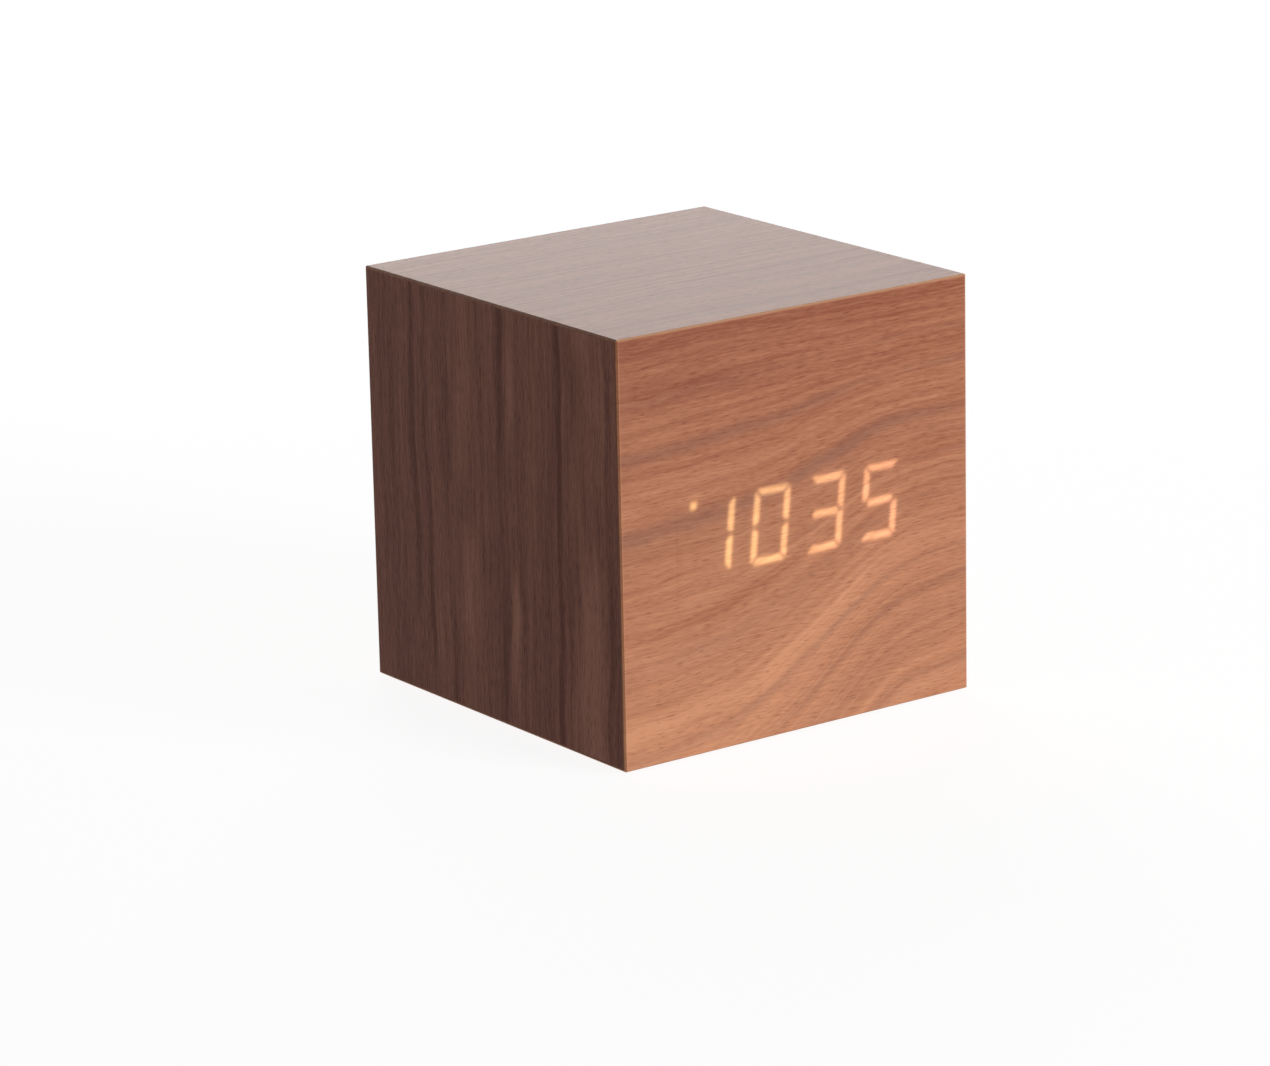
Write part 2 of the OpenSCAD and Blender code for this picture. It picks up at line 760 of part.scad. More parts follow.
// The ribbon leaves and meets the headers square, and drops between them
module ribbon_cable() {
    steps = 24;
    half = ribbon[1] / 2;
    y = [main_back_y + header[2], control_front_y - header[2]];
    z = [display_z + header_at[1], control_z];
    line = [for (i = [0:steps]) let (t = i / steps, ease = (1 - cos(180 * t)) / 2)
        [y[0] + (y[1] - y[0]) * t, z[0] + (z[1] - z[0]) * ease - ribbon_sag * (1 - cos(360 * t)) / 2]];
    color("lightgray") along_x(header_at[0] - ribbon[0] / 2, header_at[0] + ribbon[0] / 2) polygon(concat(
        [for (p = line) p + [0, half]],
        [for (i = [steps:-1:0]) line[i] - [0, half]]
    ));
}

// Control plate: a rim in the back of the case round a well with the buttons and the socket

module at_plate_screws() {
    for (s = [-1, 1]) translate([s * plate_screw_x, y_side, control_z]) rotate([-90, 0, 0]) children();
}

module at_bosses() {
    for (x = boss_x, s = [-1, 1]) translate([x, 0, control_z + s * boss_z]) children();
}

module plate_room() {
    along_y(y_side - plate_t, y_side + past)
        translate([0, control_z]) polygon(rounded(plate_w + 2 * fit, plate_h + 2 * fit, corner_r + fit));
}

module control_plate() {
    color("#1c1c1e") difference() {
        union() {
            along_y(y_side - plate_t, y_side)
                translate([0, control_z]) polygon(rounded(plate_w, plate_h, corner_r));
            along_y(boss_y, y_side - plate_t / 2)
                translate([0, control_z]) polygon(rounded(well_outside[0], well_outside[1], corner_r));
            at_bosses() rod_y(0, 0, boss_r, control_y, boss_y + floor_t / 2);
        }
        along_y(floor_y, y_side + past)
            translate([0, control_z]) polygon(rounded(well_w, well_h, corner_r - well_wall));
        for (x = button_x) rod_y(x, control_z, button_d / 2 + button_fit, boss_y - past, floor_y + past);
        along_y(boss_y - past, floor_y + past)
            translate([usb_x, control_z]) square(grown([usb[0], usb[1]], fit), center = true);
        at_bosses() rod_y(0, 0, small_screw_r + snug, control_y - past, boss_y + floor_t / 3);
        at_plate_screws() flush_seat(plate_t + past);
    }
}

module control_plate_screws() {
    color("silver") at_plate_screws() flush_screw(case_screw_l);
}

module control_board() {
    color("darkgreen") difference() {
        along_y(control_front_y, control_y)
            translate([0, control_z]) square(control_board_size, center = true);
        at_bosses() rod_y(0, 0, small_screw_r + through_fit, control_front_y - past, control_y + past);
    }
}

module control_board_screws() {
    color("silver") at_bosses() translate([0, control_front_y, 0]) rotate([90, 0, 0])
        pan_screw(pcb_t + small_screw_grip, small_screw_r, small_head_r, small_head_h);
}

// Square bodies, each with two flat legs under it and a well for its plunger
module switch_bodies() {
    leg = [0.6, 0.3, 0.8];      // width, thickness and how far a leg sticks out
    half = switch_w / 2;
    well = plunger_in + button_travel + fit;
    color("#2a2a2a") for (x = button_x) translate([x, control_y, control_z]) difference() {
        union() {
            block([-half, 0, -half], [half, switch_h, half]);
            for (s = [-1, 1]) translate([s * (half - leg[2]), leg[1] / 2, 0])
                cube([leg[0], leg[1], switch_w + 2 * leg[2]], center = true);
        }
        rod_y(0, 0, plunger_r + plunger_fit, switch_h - well, switch_h + past);
    }
}

module plunger(x) {
    top = control_y + switch_h;
    color("#e8e4da") rod_y(x, control_z, plunger_r, top - plunger_in, top + plunger_out);
}

module set_plunger() {
    plunger(button_x[0]);
}

module up_plunger() {
    plunger(button_x[1]);
}

module down_plunger() {
    plunger(button_x[2]);
}

// A collar keeps the button in the plate, and its top is slightly dished
module button(x) {
    r = button_d / 2;
    foot_y = control_y + switch_h + plunger_out;
    length = floor_y + button_out - foot_y;
    round = 0.5;
    dish = 0.25;
    color("#26262a") translate([x, foot_y, control_z]) rotate([-90, 0, 0]) rotate_extrude() polygon(concat(
        [[0, 0], [collar_r, 0], [collar_r, collar_t], [r, collar_t]],
        arc([r - round, length - round], round, 0, 90, 4),
        [for (i = [3:-1:0]) let (t = i / 4) [(r - round) * t, length - dish * (1 - t * t)]]
    ));
}

module set_button() {
    button(button_x[0]);
}

module up_button() {
    button(button_x[1]);
}

module down_button() {
    button(button_x[2]);
}

// Power socket: a folded shell with two clipped corners, and a tongue inside

function usb_outline(w, h, c) = [
    [-w / 2, h / 2], [w / 2, h / 2], [w / 2, -h / 2 + c],
    [w / 2 - c, -h / 2], [-w / 2 + c, -h / 2], [-w / 2, -h / 2 + c]
];
usb_inside = [usb[0] - 2 * usb[2], usb[1] - 2 * usb[2]];
usb_inside_corner = usb_corner - usb[2] * (2 - sqrt(2));
usb_base = 1.4;
usb_tongue_size = [3.7, 0.6];
usb_tongue_rise = 0.25;                  // above the socket's middle
usb_tongue_sunk = 0.8;                   // below the socket's mouth

module usb_shell() {
    color("silver") along_y(control_y, floor_y - usb_sunk) translate([usb_x, control_z]) difference() {
        polygon(usb_outline(usb[0], usb[1], usb_corner));
        polygon(usb_outline(usb_inside[0], usb_inside[1], usb_inside_corner));
    }
}

module usb_tongue() {
    color("black") {
        along_y(control_y, control_y + usb_base) translate([usb_x, control_z])
            polygon(usb_outline(usb_inside[0], usb_inside[1], usb_inside_corner));
        along_y(control_y, floor_y - usb_sunk - usb_tongue_sunk)
            translate([usb_x, control_z + usb_tongue_rise]) square(usb_tongue_size, center = true);
    }
}

// Battery box: dropped in from below, with a ledge and a hooked lip for the door

module at_box_screws() {
    for (p = corners(box_screw_at)) translate([p[0], p[1], z_bottom]) mirror([0, 0, 1]) children();
}

module flange_room() {
    along_z(z_bottom - past, flange_z)
        polygon(rounded(2 * (flange_x + fit), 2 * (flange_y + fit), corner_r + fit));
}

function cell_y(i) = (i - (cell_count - 1) / 2) * cell_pitch;
last_y = cell_y(cell_count - 1);
hook_y = [for (i = [0:cell_count - 2]) (cell_y(i) + cell_y(i + 1)) / 2];

// Neighbouring cells lie opposite ways
module at_cells() {
    for (i = [0:cell_count - 1]) translate([0, cell_y(i), cell_z]) mirror([i % 2, 0, 0]) children();
}

module battery_box() {
    latch_room = latch_w / 2 + fit;
    tail_x = bay_l / 2 - contact_t / 2;
    color("#222224") difference() {
        union() {
            along_z(z_bottom, flange_z) polygon(rounded(2 * flange_x, 2 * flange_y, corner_r));
            block([-box_x, -box_y, z_bottom], [box_x, box_y, box_top]);
            block(
                [0, -latch_room - box_wall, z_bottom],
                [latch_room_x + box_wall, latch_room + box_wall, latch_room_z + box_wall]
            );
        }
        block([-lip_x, -lip_w, z_bottom - past], [lip_x, lip_w, door_z]);
        block([-bay_l / 2, -bay_w / 2, z_bottom - past], [bay_l / 2, bay_w / 2, saddle_z]);
        for (i = [0:cell_count - 1]) rod_x(cell_y(i), cell_z, cell_d / 2 + cell_fit, -bay_l / 2, bay_l / 2);
        block([lip_x - past, -latch_room, z_bottom - past], [latch_lip_x, latch_room, door_z]);
        block([lip_x, -latch_room, door_z], [latch_room_x, latch_room, latch_room_z]);
        translate([latch_lip_x + thumb_reach - thumb_r, 0, z_bottom - past])
            cylinder(h = past + door_t, r = thumb_r);
        for (y = hook_y) block(
            [-lip_x - hook_reach - hook_room, y - hook_w / 2 - fit, door_z],
            [-bay_l / 2 + past, y + hook_w / 2 + fit, door_z + hook_rise]
        );
        for (s = [-1, 1]) translate([s * tail_x, s * last_y, 0])
            block([-contact_t, -tail_w / 2 - fit, cell_z], [contact_t, tail_w / 2 + fit, box_top + past]);
        at_box_screws() flush_seat(flange_t + past);
    }
}

module battery_box_screws() {
    color("silver") at_box_screws() flush_screw(case_screw_l);
}

// Each cell lies with its contact button against a flat plate and its base on a spring
module battery_cells() {
    r = cell_d / 2;
    top = cell_l - nub[1];
    ease = [0.7, 0.5];
    color("lightsteelblue") at_cells() translate([bay_l / 2 - contact_t - cell_l, 0, 0])
        rotate([0, 90, 0]) rotate_extrude() polygon([
            [0, 0], [r - ease[0], 0], [r, ease[1]], [r, top - ease[1]], [r - ease[0], top],
            [nub[0], top], [nub[0], cell_l], [0, cell_l]
        ]);
}

// A cone of wire from the contact plate to the base of a cell
spring_rings = 8;                        // to a turn
spring_steps = spring_turns * spring_rings;
spring_start = -bay_l / 2 + contact_t + snug + spring_wire / 2;
spring_run = spring_l - spring_wire - 2 * snug;
spring_path = [
    for (i = [0:spring_steps])
        let (t = i / spring_steps, a = 360 * i / spring_rings, r = spring_r[0] * (1 - t) + spring_r[1] * t)
            [spring_start + spring_run * t, r * cos(a), r * sin(a)]
];
spring_least_gap = min([
    for (i = [0:spring_steps], j = [0:spring_steps])
        if (j > i + spring_rings / 2) norm(spring_path[i] - spring_path[j])
]) - spring_wire;
echo(spring_least_gap = spring_least_gap);

module battery_springs() {
    color("silver") at_cells() tube(spring_path, spring_wire / 2, 6, [1, 0, 0]);
}

// A single plate at each end of the chain of cells, with a solder tail, and two that join neighbours
module battery_plates() {
    h = plate_half;
    color("goldenrod") for (s = [0, 1]) rotate(180 * s) translate([bay_l / 2 - contact_t, 0, cell_z]) {
        block([0, last_y - h, -h], [contact_t, last_y + h, h]);
        block([0, last_y - tail_w / 2, 0], [contact_t, last_y + tail_w / 2, box_top + tail_out - cell_z]);
        block([0, -last_y - h, -h], [contact_t, h, join_top]);
    }
}

// The door tips about its rounded end. The catch is drawn pressed in, as a thumb holds it to open the door.
latch_base_x = -latch_r - latch_gap - fit - latch_root;
latch_profile = concat(
    [[latch_base_x, 0], [-latch_r + latch_t, 0]],
    arc([0, latch_h], latch_r - latch_t, 180, 0, 12),
    [[latch_r - latch_t, 0], [latch_r, 0], [latch_r, catch_z], [latch_r + catch_out, catch_z]],
    [[latch_r, catch_z + catch_h]],
    arc([0, latch_h], latch_r, 0, 180, 12),
    [[-latch_r, door_t], [latch_base_x, door_t]]
);

module battery_door() {
    color("#222224") {
        block([hinge_x, -door_w / 2, z_bottom], [door_l / 2, door_w / 2, door_z]);
        rod_y(hinge_x, hinge_z, door_t / 2 - hinge_step, -door_w / 2, door_w / 2);
        for (y = hook_y) {
            block(
                [-lip_x - hook_reach, y - hook_w / 2, door_z + hook_lift],
                [-bay_l / 2 + hook_root, y + hook_w / 2, door_z + hook_lift + hook_t]
            );
            block(
                [-bay_l / 2 + hook_room, y - hook_w / 2, door_z - door_t / 2],
                [-bay_l / 2 + hook_root, y + hook_w / 2, door_z + hook_lift + hook_t]
            );
        }
        along_latch() polygon(latch_profile);
        grip_ribs();
    }
}

module grip_ribs() {
    half = grip_l / 2;
    low = grip_r - grip_out;
    color("#222224") for (i = [0:grip_count - 1])
        translate([door_l / 2 - grip_inset - i * grip_pitch, 0, z_bottom + low]) rotate([-90, 0, 0])
            rotate_extrude() polygon([
                [0, -half], [low, -half], [grip_r, grip_run_out - half],
                [grip_r, half - grip_run_out], [low, half], [0, half]
            ]);
}

module along_latch() {
    translate([latch_x, latch_w / 2, z_bottom]) rotate([90, 0, 0]) linear_extrude(latch_w) children();
}

// Leads from the solder tails to the control board
function lead_path(s) =
    let (
        start = [s * (bay_l / 2 - contact_t - lead_r - snug), s * last_y, box_top + tail_out / 2],
        end = [s * lead_x, control_front_y - snug, control_z - lead_drop],
        ways = [start, start + [0, 0, lead_pull], end - [0, lead_pull, 0], end]
    ) [for (i = [0:lead_steps]) bezier(ways, i / lead_steps)];

module battery_lead_red() {
    color("firebrick") tube(lead_path(1), lead_r, 8, [1, 0, 0]);
}

module battery_lead_black() {
    color("black") tube(lead_path(-1), lead_r, 8, [1, 0, 0]);
}

case_top_board();
case_bottom_board();
case_left_board();
case_right_board();
front_board();
back_board();
top_veneer();
bottom_veneer();
left_veneer();
right_veneer();
front_veneer();
back_veneer();
rubber_feet();
display_reflector();
lit_lenses();
dark_lenses();
display_leds();
main_board();
board_spacers();
main_board_screws();
clock_chip();
timing_crystal();
coin_holder();
coin_cell();
coin_clip();
alarm_sounder();
ribbon_headers();
ribbon_cable();
control_plate();
control_plate_screws();
control_board();
control_board_screws();
switch_bodies();
set_plunger();
up_plunger();
down_plunger();
set_button();
up_button();
down_button();
usb_shell();
usb_tongue();
battery_box();
battery_box_screws();
battery_cells();
battery_springs();
battery_plates();
battery_door();
battery_lead_red();
battery_lead_black();
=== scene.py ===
"""Looks of a walnut cube alarm clock: grain and veins in the veneer, figures of light that shine
through the front, moulded controls and battery door, and a plain studio round it."""

import math

import bmesh
import bpy
from mathutils import Matrix, Vector


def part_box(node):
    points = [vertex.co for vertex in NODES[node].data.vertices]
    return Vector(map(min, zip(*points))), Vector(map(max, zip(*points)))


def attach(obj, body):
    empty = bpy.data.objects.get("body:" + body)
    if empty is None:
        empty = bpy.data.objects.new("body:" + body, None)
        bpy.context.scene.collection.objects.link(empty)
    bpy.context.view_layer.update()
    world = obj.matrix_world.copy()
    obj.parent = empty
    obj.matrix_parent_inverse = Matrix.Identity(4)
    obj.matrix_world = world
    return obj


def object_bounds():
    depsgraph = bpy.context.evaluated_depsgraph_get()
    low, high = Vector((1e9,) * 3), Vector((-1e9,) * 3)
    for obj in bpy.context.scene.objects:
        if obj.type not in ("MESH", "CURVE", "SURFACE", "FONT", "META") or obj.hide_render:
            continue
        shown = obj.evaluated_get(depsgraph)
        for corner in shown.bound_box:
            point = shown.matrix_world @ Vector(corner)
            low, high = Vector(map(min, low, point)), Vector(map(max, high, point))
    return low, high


bl_info = {
    "name": "Walnut cube clock",
    "version": (1, 0, 0),
    "blender": (4, 5, 0),
    "location": "View3D > Sidebar > Clock",
    "description": "Dresses the cube clock with its finishes, its lit figures and a studio",
    "category": "Object",
}

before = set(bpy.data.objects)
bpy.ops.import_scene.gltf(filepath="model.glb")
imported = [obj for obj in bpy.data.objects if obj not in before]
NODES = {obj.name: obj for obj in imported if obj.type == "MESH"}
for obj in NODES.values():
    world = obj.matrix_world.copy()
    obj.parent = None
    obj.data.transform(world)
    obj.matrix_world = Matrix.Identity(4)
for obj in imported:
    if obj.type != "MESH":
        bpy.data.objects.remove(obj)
CAD_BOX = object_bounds()
MM = 0.001


def linear(code):
    """The linear colour of an sRGB hex code."""
    parts = [int(code[i:i + 2], 16) / 255 for i in (0, 2, 4)]
    return tuple(p / 12.92 if p <= 0.04045 else ((p + 0.055) / 1.055) ** 2.4 for p in parts)


def colour(label, about, code):
    """A colour that the user may change, from its sRGB hex code."""
    return bpy.props.FloatVectorProperty(
        name=label, description=about, subtype="COLOR", size=3, min=0, max=1, default=linear(code)
    )


def length(label, about, millimetres):
    """A length that the user may change."""
    return bpy.props.FloatProperty(
        name=label, description=about, unit="LENGTH", min=0, precision=5, default=millimetres * MM
    )


def power(label, about, watts):
    """The power of a lamp, which the user may change."""
    return bpy.props.FloatProperty(name=label, description=about, unit="POWER", default=watts)


class ClockSizes(bpy.types.PropertyGroup):
    glow_inset: length("Edge of the light", "From a lens's outline in to where its full light ends", 0.26)
    glow_fall: length("Fall of the light", "Width over which a lens's light fades", 0.3)
    glow_spread: length("Spread of the light", "How far the veneer spreads the light of a point", 0.28)
    glow_haze: length("Haze of the light", "How far a faint glow spreads in the veneer", 3.2)
    glow_step: length("Fineness of the light", "Spacing of the points that carry the light", 0.18)
    mark_size: length("Button mark", "Height of the mark printed on a button", 2.6)
    mark_ink: length("Ink", "Thickness of the printed marks", 0.04)


class ClockColours(bpy.types.PropertyGroup):
    walnut_light: colour("Light walnut", "The paler wood between the bands", "D1916C")
    walnut_dark: colour("Dark walnut", "The darker wood of the bands", "8A4A30")
    # The left veneer's tones: its wood, tinted with the colour cast of its shade, which is painted shade
    shade_tinted_light: colour("Light walnut, shade-tinted", "The paler wood of the left veneer", "E29C86")
    shade_tinted_dark: colour("Dark walnut, shade-tinted", "The darker wood of the left veneer", "70321C")
    walnut_vein: colour("Walnut veins", "The greyer veins across the front", "604A48")
    walnut_pore: colour("Walnut pores", "The open pores along the grain", "5E3322")
    # A painted highlight: the front's upper arris, paler where it catches the light
    walnut_highlight: colour("Walnut painted highlight", "The painted highlight on the front's upper edge", "E6B692")
    light_left: colour("Light at the left", "Colour of the lit figures at the left end", "FFC67E")
    light_right: colour("Light at the right", "Colour of the lit figures at the right end", "FBAE7F")
    black_plastic: colour("Black plastic", "Plate, battery box and door", "191A1B")
    button_plastic: colour("Button plastic", "The three buttons", "232426")
    foot_rubber: colour("Rubber", "The four feet", "2A2A2B")
    mark_ink: colour("Ink", "The marks on the buttons", "DADAD6")
    cell_jacket: colour("Cell jacket", "The plain jackets of the cells", "51637A")


class ClockStage(bpy.types.PropertyGroup):
    key: power("Key lamp", "Power of the lamp at the front right", 11.0)
    back: power("Back lamp", "Power of the softbox behind, which the top reflects", 7.3)
    under: power("Lower lamp", "Power of the lamp that lights the underside", 2.5)
    fill: bpy.props.FloatProperty(
        name="Fill", description="Level of the light from all round", subtype="FACTOR", min=0, max=1,
        default=0.074,
    )


def feed(tree, node, filled):
    """Fills a node's sockets by number or name. A node given as a value links its first output in use."""
    for key, value in filled.items():
        if isinstance(value, bpy.types.Node):
            value = next(o for o in value.outputs if o.enabled)
        if isinstance(value, bpy.types.NodeSocket):
            tree.links.new(node.inputs[key], value)
        else:
            node.inputs[key].default_value = value


def add(tree, kind, *values, sockets=None, **settings):
    """Adds a node. Values fill its sockets in order, and sockets fills them by number. Settings with
    a capital letter fill sockets by name, and the others are its fields. In a colour Mix, socket 0 is
    the share of the second colour, and 6 and 7 are the two colours."""
    made = tree.nodes.new(kind)
    filled = {i: v for i, v in enumerate(values) if v is not None}
    filled.update(sockets or {})
    for key, value in settings.items():
        if key[0].isupper():
            filled[key] = value
        else:
            setattr(made, key, value)
    feed(tree, made, filled)
    return made


def begin(name, **fixed):
    """A new material with one Principled shader, whose even values are set on its own sockets."""
    material = bpy.data.materials.new(name)
    material.use_nodes = True
    shader = material.node_tree.nodes["Principled BSDF"]
    for key, value in fixed.items():
        shader.inputs[key.replace("_", " ")].default_value = value
    return material, material.node_tree, shader


def dress(material, *names):
    """Puts a material on CAD nodes."""
    for name in names:
        for slot in NODES[name].material_slots:
            slot.material = material


def opaque(tint):
    """A colour with full opacity, for a colour socket."""
    return (*tint, 1.0)


# Where most values of a noise texture lie, and those of two added together
NOISE = (0.3, 0.7)
TWO_NOISES = (0.6, 1.4)

# Layers of the grain: length and width in mm of what each draws, and its detail. Flecks of 0.1 mm
# are drawn at 0.3 mm, to show at all. The weights say how far each layer darkens or lightens the
# wood.
GROWTH_LAYERS = {"bands": (120, 7, 2), "lines": (40, 1.3, 3), "patches": (26, 9, 1)}
FIBRE_LAYERS = {"fibres": (9, 0.5, 2), "flecks": (2.2, 0.3, 1)}
LAYER_WEIGHTS = {"bands": 0.6, "lines": 0.7, "fibres": 0.6, "flecks": 0.55}

# Lines of growth: the part of their climb that is even, the part of the face where the rest of it
# lies, the length over which they wander, and how far they and the fibres wander
EVEN_CLIMB = 0.35
STEEP_PART = (0.25, 0.85)
WANDER_LENGTH = 26 * MM
GROWTH_WANDER = 4.5 * MM
FIBRE_WANDER = 2 * MM

# Values of the patches over which streaks come and go, values of the flecks over which pores
# open, and how much of the pores' colour shows
STREAK_PATCHES = (0.35, 0.6)
PORE_FLECKS = (0.62, 0.76)
PORE_SHARE = 0.32

# Roughness of the oiled wood and what a pore adds to it
OILED_ROUGHNESS = 0.46
PORE_ROUGHNESS = 0.3

# How far from an edge the paling is full and where it ends, partly rubbing and partly a painted
# highlight, and the same for the painted highlight along the front's upper edge
RUB_AND_HIGHLIGHT_REACH = (0.15 * MM, 0.7 * MM)
UPPER_HIGHLIGHT_REACH = (0.28 * MM, 0.32 * MM)

# Strength of the light through the palest and the darkest wood, and of the haze
LIGHT_THROUGH = (1.06, 0.46)
HAZE_STRENGTH = 0.03


# Walnut veneer, sliced flat and sanded under a thin matt oil. The eye gets the figure of the
# growth in bands and streaks, greyer veins on the front, fine fibres and short flecks that run
# straight along the board, and edges a little paler, partly rubbed and partly a painted highlight,
# most of all the front's upper edge, whose paler line is a painted highlight. The wood also darkens
# between the floor and the top, partly its tone and partly painted shade.
def walnut(
    name, along, across, seed, shade, contrast=0.9, sheen=0.16, kind="walnut", rise=0.0, squeeze=0.0,
    streaks=(), fade=(0.45, 1.15), veined=False, rub_and_highlight=0.45, upper_highlight=0.0, lit=False,
):
    """The wood of one face. The grain runs along one axis, and its lines lie across another. Shade is
    how dark the wood is at the floor and at the top, partly its tone and partly painted shade; rise
    and squeeze are how far the lines of growth climb and draw together, fade is the least and the most
    of a streak, and the edge settings say how pale the edges are, partly rubbing and partly a painted
    highlight, and how strong the painted highlight along the upper edge is. A lit one carries the
    light of the figures too."""
    colours = bpy.context.scene.clock_colours
    material, tree, shader = begin(name, IOR=1.45, Specular_IOR_Level=sheen)
    point = add(tree, "ShaderNodeTexCoord").outputs["Object"]
    axes = add(tree, "ShaderNodeSeparateXYZ", point).outputs
    low, high = CAD_BOX
    i = "XYZ".index(along)
    start, end = low[i], high[i]

    # Lines of growth climb along the face, most in its middle, and draw together as they climb
    share = add(tree, "ShaderNodeMapRange", axes[along], start, end, 0, EVEN_CLIMB)
    steep = [start + part * (end - start) for part in STEEP_PART]
    swell = add(
        tree, "ShaderNodeMapRange", axes[along], *steep, 0, 1 - EVEN_CLIMB, interpolation_type="SMOOTHSTEP"
    )
    swell = add(tree, "ShaderNodeMath", share, swell, operation="ADD")
    climb = add(tree, "ShaderNodeMath", swell, -rise, axes[across], operation="MULTIPLY_ADD")
    spread = add(tree, "ShaderNodeMath", swell, -squeeze, 1.0, operation="MULTIPLY_ADD")
    level = add(tree, "ShaderNodeMath", climb, spread, operation="DIVIDE")
    wander = add(tree, "ShaderNodeTexNoise", point, Scale=1 / WANDER_LENGTH, Detail=2.0, Roughness=0.5)
    wander = add(tree, "ShaderNodeMath", wander, 0.5, operation="SUBTRACT")
    level = add(tree, "ShaderNodeMath", wander, GROWTH_WANDER, level, operation="MULTIPLY_ADD")
    row = add(tree, "ShaderNodeMath", wander, FIBRE_WANDER, axes[across], operation="MULTIPLY_ADD")
    growth = add(tree, "ShaderNodeCombineXYZ", axes[along], level, seed)
    fibre = add(tree, "ShaderNodeCombineXYZ", axes[along], row, seed)
    layers = {}
    for course, kinds in ((growth, GROWTH_LAYERS), (fibre, FIBRE_LAYERS)):
        for label, (long, wide, detail) in kinds.items():
            scale = (1 / (long * MM), 1 / (wide * MM), 1)
            cell = add(tree, "ShaderNodeVectorMath", course, scale, operation="MULTIPLY")
            layers[label] = add(tree, "ShaderNodeTexNoise", cell, Scale=1.0, Detail=detail, Roughness=0.5)

    # How dark the wood is, from 0 to 1, and the veins apart from it where they are greyer
    # Shade darkens the wood evenly between the floor and the top: partly its tone, partly painted shade
    dark = add(tree, "ShaderNodeMapRange", axes["Z"], low[2], high[2], *shade)
    for label, weight in LAYER_WEIGHTS.items():
        around = add(tree, "ShaderNodeMath", layers[label], 0.5, operation="SUBTRACT")
        dark = add(tree, "ShaderNodeMath", around, weight * contrast, dark, operation="MULTIPLY_ADD")
    strength = add(tree, "ShaderNodeMapRange", layers["patches"], *STREAK_PATCHES, *fade)
    veins = 0.0
    for middle, wide, weight in streaks:
        off = add(tree, "ShaderNodeMath", level, middle * MM, operation="SUBTRACT")
        off = add(tree, "ShaderNodeMath", off, operation="ABSOLUTE")
        streak = add(
            tree, "ShaderNodeMapRange", off, 0, wide * MM, weight, 0, interpolation_type="SMOOTHSTEP"
        )
        if veined and weight > 0:
            veins = add(tree, "ShaderNodeMath", streak, strength, veins, operation="MULTIPLY_ADD")
        else:
            dark = add(tree, "ShaderNodeMath", streak, strength, dark, operation="MULTIPLY_ADD")
    dark = add(tree, "ShaderNodeClamp", dark)
    pores = add(
        tree, "ShaderNodeMapRange", layers["flecks"], *PORE_FLECKS, 0, PORE_SHARE,
        interpolation_type="SMOOTHSTEP",
    )

    # The distance to the nearest edge of the case is the middle one of the distances to its faces
    gaps = []
    for k, axis in enumerate("XYZ"):
        centre = (low[k] + high[k]) / 2
        off = add(tree, "ShaderNodeMath", axes[axis], centre, operation="SUBTRACT")
        off = add(tree, "ShaderNodeMath", off, operation="ABSOLUTE")
        gaps.append(add(tree, "ShaderNodeMath", (high[k] - low[k]) / 2, off, operation="SUBTRACT"))
    lesser = add(tree, "ShaderNodeMath", gaps[0], gaps[1], operation="MINIMUM")
    greater = add(tree, "ShaderNodeMath", gaps[0], gaps[1], operation="MAXIMUM")
    greater = add(tree, "ShaderNodeMath", greater, gaps[2], operation="MINIMUM")
    edge = add(tree, "ShaderNodeMath", lesser, greater, operation="MAXIMUM")
    # The edges are paler: partly rubbing, partly a painted highlight where the arrises catch the light
    rubbed_and_highlit = add(tree, "ShaderNodeMapRange", edge, *RUB_AND_HIGHLIGHT_REACH, rub_and_highlight, 0, interpolation_type="SMOOTHSTEP")

    tones = (kind + "_light", kind + "_dark", "walnut_pore", "walnut_vein", "walnut_highlight")
    light, deep, pore, vein, highlight_tone = (opaque(getattr(colours, tone)) for tone in tones)
    wood = add(tree, "ShaderNodeMix", sockets={0: dark, 6: light, 7: deep}, data_type="RGBA")
    if veined:
        wood = add(tree, "ShaderNodeMix", sockets={0: veins, 6: wood, 7: vein}, data_type="RGBA")
    wood = add(tree, "ShaderNodeMix", sockets={0: pores, 6: wood, 7: pore}, data_type="RGBA")
    wood = add(tree, "ShaderNodeMix", sockets={0: rubbed_and_highlit, 6: wood, 7: light}, data_type="RGBA")
    # A painted highlight along the front's upper edge, where its arris catches the light
    if upper_highlight:
        full, ended = (high[2] - reach for reach in UPPER_HIGHLIGHT_REACH)
        above = add(tree, "ShaderNodeMapRange", axes["Z"], ended, full, 0, upper_highlight)
        wood = add(tree, "ShaderNodeMix", sockets={0: above, 6: wood, 7: highlight_tone}, data_type="RGBA")
    rough = add(tree, "ShaderNodeMath", pores, PORE_ROUGHNESS, OILED_ROUGHNESS, operation="MULTIPLY_ADD")
    height = add(tree, "ShaderNodeMath", pores, -1.0, layers["fibres"], operation="MULTIPLY_ADD")
    bump = add(tree, "ShaderNodeBump", Strength=0.2, Distance=0.03 * MM, Height=height)
    feed(tree, shader, {"Base Color": wood, "Roughness": rough, "Normal": bump})

    # The figures shine through the wood, less where it is dark, and the fibres round them glow faintly
    if lit:
        bars = [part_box("lit_lenses")[k].x for k in (0, 1)]
        side = add(tree, "ShaderNodeMapRange", axes["X"], *bars)
        ends = {6: opaque(colours.light_left), 7: opaque(colours.light_right)}
        tint = add(tree, "ShaderNodeMix", sockets={0: side, **ends}, data_type="RGBA")
        core = add(tree, "ShaderNodeAttribute", attribute_name="glow").outputs["Fac"]
        haze = add(tree, "ShaderNodeAttribute", attribute_name="haze").outputs["Fac"]
        through = add(tree, "ShaderNodeMapRange", dark, 0, 1, *LIGHT_THROUGH)
        beam = add(tree, "ShaderNodeMath", core, through, operation="MULTIPLY")
        beam = add(tree, "ShaderNodeMath", haze, HAZE_STRENGTH, beam, operation="MULTIPLY_ADD")
        beam = add(tree, "ShaderNodeVectorMath", tint, Scale=beam, operation="SCALE")
        feed(tree, shader, {"Emission Color": beam, "Emission Strength": 1.0})
    return material


